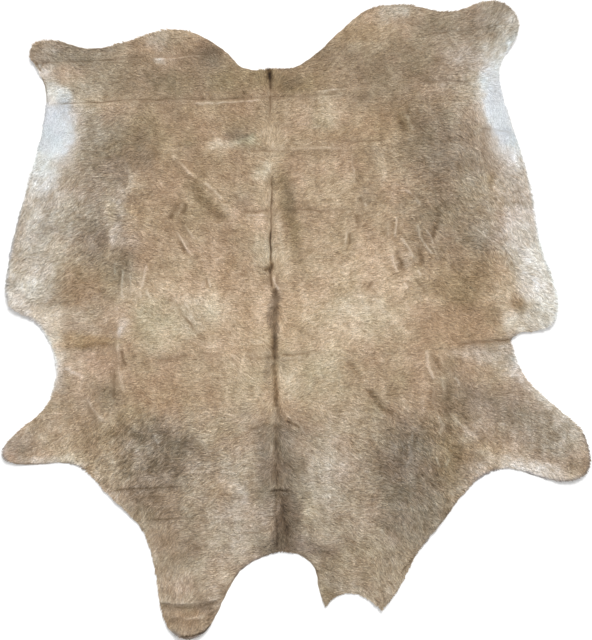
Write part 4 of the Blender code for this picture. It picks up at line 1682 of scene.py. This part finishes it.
@dataclass(frozen=True)
class CutEdgeFinish:
    """The trimmed edge: raw leather fibre, tan at the grain and paler at the flesh."""

    grain: Colour = (0.36, 0.27, 0.18)
    fibre: Colour = (0.58, 0.49, 0.37)
    roughness: float = 0.9
    fibre_scale: float = 700.0
    fibre_detail: float = 4.0
    fibre_bump: Span = (0.6, 0.0008)

    def make(self) -> Material:
        """Builds the material.

        Returns:
            The material.
        """
        sheet = NodeSheet("cut_edge")
        fibres = sheet.noise(sheet.objects(), self.fibre_scale, self.fibre_detail)
        colour = sheet.mixed(fibres, self.grain, self.fibre)
        normal = sheet.bump(fibres, *self.fibre_bump)
        return sheet.finish({"Base Color": colour, "Normal": normal, "Roughness": self.roughness})


# ---------------- the skin


class Side(Enum):
    """The skin's faces by the material that they take."""

    HAIR = 0
    FLESH = 1
    CUT = 2


@dataclass
class Skin:
    """The tanned skin: one sheet that follows the folds, with a rounded cut edge."""

    map: HideMap
    pattern: CoatPattern
    thickness: float = 0.0021
    unevenness: float = 0.0002
    clearance: float = 0.0003  # of the flesh side, above the floor
    inset: float = 0.0035  # of the cut edge inside the outline, as the hair leans over it
    edge_step: float = 0.008
    field_step: float = 0.0118
    crease_step: float = 0.009
    crease_gap: float = 0.0028
    edge_roll: float = 0.0004  # how far the middle of the cut edge stands out
    nibble: float = 0.0007  # how far the knife strays
    name: str = "hide_skin"

    THICKNESS = Mottle(41, 0.06)
    NIBBLES = Mottle(42, 0.016, 2)
    INSIDE = 1  # has the triangles made inside the rim only
    MERGE_GAP = 1e-6
    RIM_GAP = 0.6  # of a field step, from the rim to the first of the field's points
    SHARP = 50.0  # degrees between two faces, past which their edge is sharp
    CREASE_ROWS = (-1.6, -0.7, 0.0, 0.7, 1.6)  # of a crease's width, across it
    THINNED = 0.6  # of a trough that the skin's own thickness takes up

    def underside(self, spot: Survey) -> Array:
        """Gives the height of the skin's flesh side.

        Args:
            spot: the survey of the places.

        Returns:
            One height a row.
        """
        top = self.map.form.top
        lowest = top.at(spot.places) - top.values.min() + self.clearance
        return np.maximum(lowest + spot.rise, self.clearance)

    def surface(self, spot: Survey) -> Array:
        """Gives the height of the skin's hair side."""
        thick = self.thickness + self.unevenness * self.THICKNESS.at(spot.places)
        return self.underside(spot) + thick + self.THINNED * np.minimum(spot.rise, 0.0)

    def _rim(self) -> Array:
        """Walks the outline in even steps and draws it in, a little unevenly.

        Returns:
            The rim's points, x and y a row.
        """
        loop = self.map.form.outline
        closed = np.vstack([loop, loop[:1]])
        lengths = np.linalg.norm(np.diff(closed, axis=0), axis=1)
        at = np.concatenate([[0.0], np.cumsum(lengths)])
        count = int(at[-1] / self.edge_step)
        steps = np.linspace(0.0, at[-1], count, endpoint=False)
        rim = np.stack([np.interp(steps, at, closed[:, k]) for k in (0, 1)], 1)
        along = np.roll(rim, -1, 0) - np.roll(rim, 1, 0)
        inward = np.stack([-along[:, 1], along[:, 0]], 1)
        inward /= np.linalg.norm(inward, axis=1)[:, None]
        return rim + inward * (self.inset + self.nibble * self.NIBBLES.at(rim))[:, None]

    def _crease_points(self) -> Array:
        """Lays rows of points along each crease, so that the skin bends where it should.

        Returns:
            x and y, one row each.
        """
        rows = []
        for crease in self.map.creases.creases:
            corners = MM * np.array(crease.path)
            lengths = np.linalg.norm(np.diff(corners, axis=0), axis=1)
            at = np.concatenate([[0.0], np.cumsum(lengths)])
            steps = np.arange(0.0, at[-1], self.crease_step)
            middle = np.stack([np.interp(steps, at, corners[:, k]) for k in (0, 1)], 1)
            along = np.gradient(middle, axis=0)
            side = np.stack([-along[:, 1], along[:, 0]], 1)
            side /= np.linalg.norm(side, axis=1)[:, None]
            rows += [middle + side * (share * MM * crease.width) for share in self.CREASE_ROWS]
        return np.vstack(rows)

    def _field(self) -> Array:
        """Lays the creases' points and, away from them, a staggered grid inside the rim.

        Returns:
            x and y, one row each.
        """
        form = self.map.form
        low, high = form.outline.min(0), form.outline.max(0)
        fine = self._crease_points()
        fine = fine[form.depth.at(fine) > self.inset + self.crease_step / 2]
        _, first = np.unique((fine / self.crease_gap).round(), axis=0, return_index=True)
        fine = fine[np.sort(first)]
        taken = {tuple(cell) for cell in np.floor(fine / self.field_step).astype(int).tolist()}
        row_step = self.field_step * math.sqrt(3) / 2
        rows = np.arange(low[1], high[1], row_step)
        columns = np.arange(low[0], high[0], self.field_step)
        x, y = np.meshgrid(columns, rows)
        x[1::2] += self.field_step / 2
        places = np.stack([x.ravel(), y.ravel()], 1)
        places = places[form.depth.at(places) > self.inset + self.RIM_GAP * self.field_step]
        home = np.floor(places / self.field_step).astype(int).tolist()
        free = np.array([tuple(cell) not in taken for cell in home])
        return np.vstack([fine, places[free]])

    def build(self) -> Piece:
        """Makes the skin's mesh and dresses its two sides and its edge.

        Returns:
            The skin, one closed sheet.
        """
        rim = self._rim()
        places = np.vstack([rim, self._field()])
        corners, _, triangles, *_ = delaunay_2d_cdt(
            [Vector(place) for place in places.tolist()], [], [list(range(len(rim)))],
            self.INSIDE, self.MERGE_GAP,
        )
        plan = np.array([tuple(corner) for corner in corners])
        top = np.array(triangles)
        a, b, c = plan[top].transpose(1, 0, 2)
        turned = np.cross(b - a, c - a) < 0
        top[turned] = top[turned][:, ::-1]
        count = len(plan)
        spot = self.map.survey(plan)
        upper = np.column_stack([plan, self.surface(spot)])
        lower = np.column_stack([plan, self.underside(spot)])
        edge = np.arange(len(rim))
        middle = (upper[edge] + lower[edge]) / 2
        out = np.roll(rim, -1, 0) - np.roll(rim, 1, 0)
        out = np.stack([out[:, 1], -out[:, 0]], 1)
        middle[:, :2] += self.edge_roll * out / np.linalg.norm(out, axis=1)[:, None]
        points = np.vstack([upper, lower, middle])
        after = np.roll(edge, -1)
        walls = [
            np.stack([start, low_end, low_start], 1)
            for start, low_end, low_start in (
                (2 * count + edge, after, edge),
                (2 * count + edge, 2 * count + after, after),
                (count + edge, 2 * count + after, 2 * count + edge),
                (count + edge, count + after, 2 * count + after),
            )
        ]
        faces = np.vstack([top, top[:, ::-1] + count, *walls])
        slots = np.full(len(faces), Side.CUT.value)
        slots[: len(top)] = Side.HAIR.value
        slots[len(top) : 2 * len(top)] = Side.FLESH.value
        finishes = (GroundFinish(), SuedeFinish(), CutEdgeFinish())
        skin = mesh_piece(self.name, points, faces, [f.make() for f in finishes], slots)
        colours = self.pattern.colour(spot)
        paint(skin, COLOUR_LAYER, np.vstack([colours, colours, colours[edge]]))
        skin.data.set_sharp_from_angle(angle=math.radians(self.SHARP))
        return skin


# ---------------- the hair


@dataclass(frozen=True)
class CoatBand:
    """A stretch of the coat along the spine that is made as one piece."""

    name: str
    low: float
    high: float


COAT_BANDS = (
    CoatBand("coat_neck", -2.00, -0.43),
    CoatBand("coat_shoulders", -0.43, -0.10),
    CoatBand("coat_belly", -0.10, 0.22),
    CoatBand("coat_loin", 0.22, 0.60),
    CoatBand("coat_rump", 0.60, 2.00),
)


@dataclass
class Coat:
    """The hair: tufts that lie flat, each a narrow leaf from root to tip."""

    skin: Skin
    spacing: float = 0.00283
    length_spread: float = 0.24
    width: float = 0.0026
    width_spread: float = 0.25
    roll: float = 0.16  # of its width, by which a tuft tips to a side
    widest: float = 0.42  # of its length, from the root
    bend: float = 0.08
    tuft_tones: float = 0.14
    crease_trim: float = 0.70  # of a tuft's length, where a crease presses it
    overhang: float = 0.0026  # past the solid's outline
    overhang_spread: float = 0.6
    lift_spread: float = 0.4
    droop: float = 0.12  # of the distance past the outline
    rooted: float = 0.0003
    seed: int = 71
    bands: tuple[CoatBand, ...] = COAT_BANDS

    BAND_MIX = 0.012
    RAGGED = Mottle(72, 0.012, 2)
    ROOT_GAP = 0.001  # from the skin's rim to the first roots
    SHORTEST = 0.004
    LOWEST = 0.0002
    TRIMS = 3
    # the least and the most that each spread may give, as shares of the usual
    LENGTHS = (0.45, 1.7)
    OVERHANGS = (0.2, 3.0)
    WIDTHS = (0.5, 1.6)
    LIFTS = (0.2, 2.5)
    TIP_LIFTS = (0.5, 1.25)
    TONES = (0.45, 1.6)
    SLENDER = 0.14  # the most that half a tuft's width may be of its length
    BOW, TIP_BACK = 0.35, 0.25  # how a bend moves a tuft's middle, and its tip the other way
    LEAF = np.array([(0, 2, 1), (1, 2, 3)])  # a tuft's faces, from its root, left, right and tip
    STRAND_PLACES = np.array([(0.5, 0.0), (0.0, 0.45), (1.0, 0.45), (0.5, 1.0)])
    STRAND_SHIFTS = 40  # whole steps across the strand map, so that tufts differ

    def _roots(self, rng: np.random.Generator) -> Array:
        """Scatters the roots evenly but not in rows.

        Args:
            rng: the source of chance.

        Returns:
            x and y, one row each.
        """
        form = self.skin.map.form
        low, high = form.outline.min(0), form.outline.max(0)
        row_step = self.spacing * math.sqrt(3) / 2
        x, y = np.meshgrid(
            np.arange(low[0], high[0], self.spacing), np.arange(low[1], high[1], row_step)
        )
        x[1::2] += self.spacing / 2
        roots = np.stack([x.ravel(), y.ravel()], 1)
        roots += rng.uniform(-0.5, 0.5, roots.shape) * self.spacing
        return roots[form.depth.at(roots) > self.skin.inset + self.ROOT_GAP]

    def _lengths(self, spot: Survey, heading: Array, rng: np.random.Generator) -> Array:
        """Gives each tuft its length, shorter in creases and where it would pass the edge.

        Args:
            spot: the survey of the roots.
            heading: the unit direction of each tuft.
            rng: the source of chance.

        Returns:
            One length a row.
        """
        count = len(spot.places)
        usual = spot.hair.length * (1.0 - self.crease_trim * spot.pressed)
        spread = self.length_spread * rng.standard_normal(count)
        length = usual * np.clip(1 + spread, *self.LENGTHS)
        ragged = self.overhang_spread * self.RAGGED.at(spot.places)
        over = self.overhang * np.clip(1.0 + ragged, *self.OVERHANGS)
        for _ in range(self.TRIMS):
            tips = spot.places + heading * length[:, None]
            past = -self.skin.map.form.depth.at(tips) - over
            length = np.where(past > 0, np.maximum(length - past, self.SHORTEST), length)
        return length

    def _plan(self, spot: Survey, rng: np.random.Generator) -> Array:
        """Lays out the tufts in the plane.

        Args:
            spot: the survey of the roots.
            rng: the source of chance.

        Returns:
            For each tuft, x and y of its root, left, right and tip.
        """
        count = len(spot.places)
        turn = np.radians(spot.hair.waver * rng.standard_normal(count))
        cos, sin = np.cos(turn), np.sin(turn)
        x, y = spot.heading.T
        heading = np.stack([x * cos - y * sin, x * sin + y * cos], 1)
        across = np.stack([-heading[:, 1], heading[:, 0]], 1)
        length = self._lengths(spot, heading, rng)
        width = self.width * np.clip(
            1 + self.width_spread * rng.standard_normal(count), *self.WIDTHS
        )
        half = np.minimum(width / 2, self.SLENDER * length)
        curve = self.bend * length * rng.standard_normal(count)
        roots = spot.places
        middle = roots + heading * (self.widest * length)[:, None]
        middle += across * (self.BOW * curve)[:, None]
        tip = roots + heading * length[:, None] - across * (self.TIP_BACK * curve)[:, None]
        side = across * half[:, None]
        return np.stack([roots, middle + side, middle - side, tip], 1)

    def _rises(self, hair: HairKind, rng: np.random.Generator) -> Array:
        """Gives how far the tufts stand above the skin.

        Args:
            hair: the kind of hair at the roots.
            rng: the source of chance.

        Returns:
            For each tuft, the rise of its root, left, right and tip.
        """
        count = len(hair.lift)
        lift = hair.lift * np.clip(1 + self.lift_spread * rng.standard_normal(count), *self.LIFTS)
        rolled = self.roll * self.width * rng.standard_normal(count)
        root = np.full(count, -self.rooted)
        tip = lift * rng.uniform(*self.TIP_LIFTS, count)
        return np.maximum(np.stack([root, lift + rolled, lift - rolled, tip], 1), root[:, None])

    def build(self) -> list[Piece]:
        """Makes the coat, one piece for each band.

        Returns:
            The pieces, from the neck to the rump.
        """
        rng = np.random.default_rng(self.seed)
        roots = self.skin.map.survey(self._roots(rng))
        count = len(roots.places)
        plan = self._plan(roots, rng)
        rises = self._rises(roots.hair, rng)
        heading = plan[:, 3] - plan[:, 0]
        heading /= np.linalg.norm(heading, axis=1)[:, None]
        spot = self.skin.map.survey(plan.reshape(-1, 2), np.repeat(heading, 4, 0))
        outside = np.maximum(-spot.depth, 0.0)
        height = self.skin.surface(spot) + rises.ravel() - self.droop * outside
        height = np.maximum(height, self.LOWEST).reshape(count, 4)
        colours = self.skin.pattern.colour(spot).reshape(count, 4, 3)
        tone = self.tuft_tones * roots.hair.contrast * rng.standard_normal(count)
        colours *= np.clip(1.0 + tone, *self.TONES)[:, None, None]
        along = roots.places[:, 1] + self.BAND_MIX * rng.standard_normal(count)
        finish = HairFinish().make()
        pieces = []
        for band in self.bands:
            rows = (along >= band.low) & (along < band.high)
            pieces.append(self._band(band.name, plan[rows], height[rows], colours[rows], finish))
        return pieces

    def _band(
        self, name: str, plan: Array, height: Array, colours: Array, finish: Material
    ) -> Piece:
        """Joins a band's tufts into one piece, with its bake map and its strand map.

        Args:
            name: the piece's name.
            plan: x and y of each tuft's four points.
            height: the height of each.
            colours: the colour of each.
            finish: the hair's material.

        Returns:
            The piece.
        """
        count = len(plan)
        points = np.concatenate([plan, height[:, :, None]], 2).reshape(-1, 3)
        faces = (self.LEAF[None] + 4 * np.arange(count)[:, None, None]).reshape(-1, 3)
        piece = mesh_piece(name, points, faces, [finish])
        paint(piece, COLOUR_LAYER, colours.reshape(-1, 3))
        rng = np.random.default_rng(count)  # apart from the coat's own, which the bands share
        strand = np.tile(self.STRAND_PLACES[self.LEAF.ravel()], (count, 1, 1))
        strand[:, :, 0] += np.floor(rng.uniform(0, self.STRAND_SHIFTS, (count, 1)))
        low, high = points[:, :2].min(0), points[:, :2].max(0)
        flat = (points[faces.ravel(), :2] - low) / (high - low)
        lay_map(piece, BAKE_MAP, flat)
        lay_map(piece, STRAND_MAP, strand.reshape(-1, 2))
        return piece


# ---------------- the studio


@dataclass(frozen=True)
class Studio:
    """A white floor, a large soft light from the rump's side, and the camera straight above."""

    floor_size: float = 14.0
    floor_below: float = 0.0004
    floor_white: float = 0.93
    floor_roughness: float = 0.9
    floor_specular: float = 0.1
    key_strength: float = 2.65
    key_softness: float = 24.0
    key_height: float = 42.0
    key_from: float = 78.0
    sky: float = 0.72
    lens: float = 85.0
    sensor: float = 36.0
    frame_height_px: float = 640.0
    pixels_a_metre: float = 300.0
    aim: Point = (-0.0007, 0.0)
    farthest: float = 100.0

    def floor(self) -> Piece:
        """Lays the floor just under the hide.

        Returns:
            The floor.
        """
        for other in bpy.context.selected_objects:
            other.select_set(False)
        bpy.ops.mesh.primitive_plane_add(size=self.floor_size)
        floor = bpy.context.object
        floor.name = "floor"
        floor.data.transform(Matrix.Translation((0.0, 0.0, -self.floor_below)))
        looks = {
            "Base Color": (*[self.floor_white] * 3, 1.0),
            "Roughness": self.floor_roughness,
            "Specular IOR Level": self.floor_specular,
        }
        floor.data.materials.append(NodeSheet("studio_floor").finish(looks))
        return floor

    def lights(self) -> None:
        """Hangs the key light and sets the white surroundings."""
        key_data = bpy.data.lights.new("key", "SUN")
        key_data.energy = self.key_strength
        key_data.angle = math.radians(self.key_softness)
        key = bpy.data.objects.new("key", key_data)
        bpy.context.scene.collection.objects.link(key)
        height, side = math.radians(self.key_height), math.radians(self.key_from)
        towards = Vector(
            (math.cos(height) * math.cos(side), math.cos(height) * math.sin(side), math.sin(height))
        )
        key.rotation_euler = towards.to_track_quat("Z", "Y").to_euler()
        world = bpy.data.worlds.new("surroundings")
        world.use_nodes = True
        nodes, links = world.node_tree.nodes, world.node_tree.links
        background = nodes["Background"]
        background.inputs["Color"].default_value = (1.0, 1.0, 1.0, 1.0)
        seen = nodes.new("ShaderNodeLightPath")
        strength = nodes.new("ShaderNodeMapRange")
        strength.inputs["To Min"].default_value = self.sky
        strength.inputs["To Max"].default_value = 1.0
        links.new(seen.outputs["Is Camera Ray"], strength.inputs["Value"])
        links.new(strength.outputs["Result"], background.inputs["Strength"])
        bpy.context.scene.world = world

    def camera(self) -> None:
        """Sets the camera straight above, so far up that a metre is as wide as it should be."""
        data = bpy.data.cameras.new("camera")
        data.lens = self.lens
        data.sensor_fit = "VERTICAL"
        data.sensor_height = self.sensor
        data.clip_end = self.farthest
        camera = bpy.data.objects.new("camera", data)
        seen_height = self.frame_height_px / self.pixels_a_metre
        camera.location = (*self.aim, self.lens * seen_height / self.sensor)
        bpy.context.scene.collection.objects.link(camera)
        bpy.context.scene.camera = camera

    def set_up(self) -> Piece:
        """Makes the floor, the lights and the camera.

        Returns:
            The floor.
        """
        self.lights()
        self.camera()
        bpy.context.scene.view_settings.view_transform = "Standard"
        return self.floor()


# ---------------- putting it together


def main() -> None:
    """Builds the hide and its setting in order."""
    logging.basicConfig(level=logging.INFO, format="%(name)s: %(message)s")
    floor = Studio().set_up()
    form = HideForm()
    log.info("form: %d outline points", len(form.outline))
    skin = Skin(HideMap(form, CreaseWork(), HairFlow(), HairGrowth()), CoatPattern())
    sheet = skin.build()
    log.info("%s: %d faces", sheet.name, len(sheet.data.polygons))
    hair = Coat(skin).build()
    for piece in hair:
        log.info("%s: %d faces", piece.name, len(piece.data.polygons))
    for piece in (sheet, *hair):
        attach(piece, BODY)
    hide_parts(HIDE_NODE)


if __name__ == "__main__":
    main()
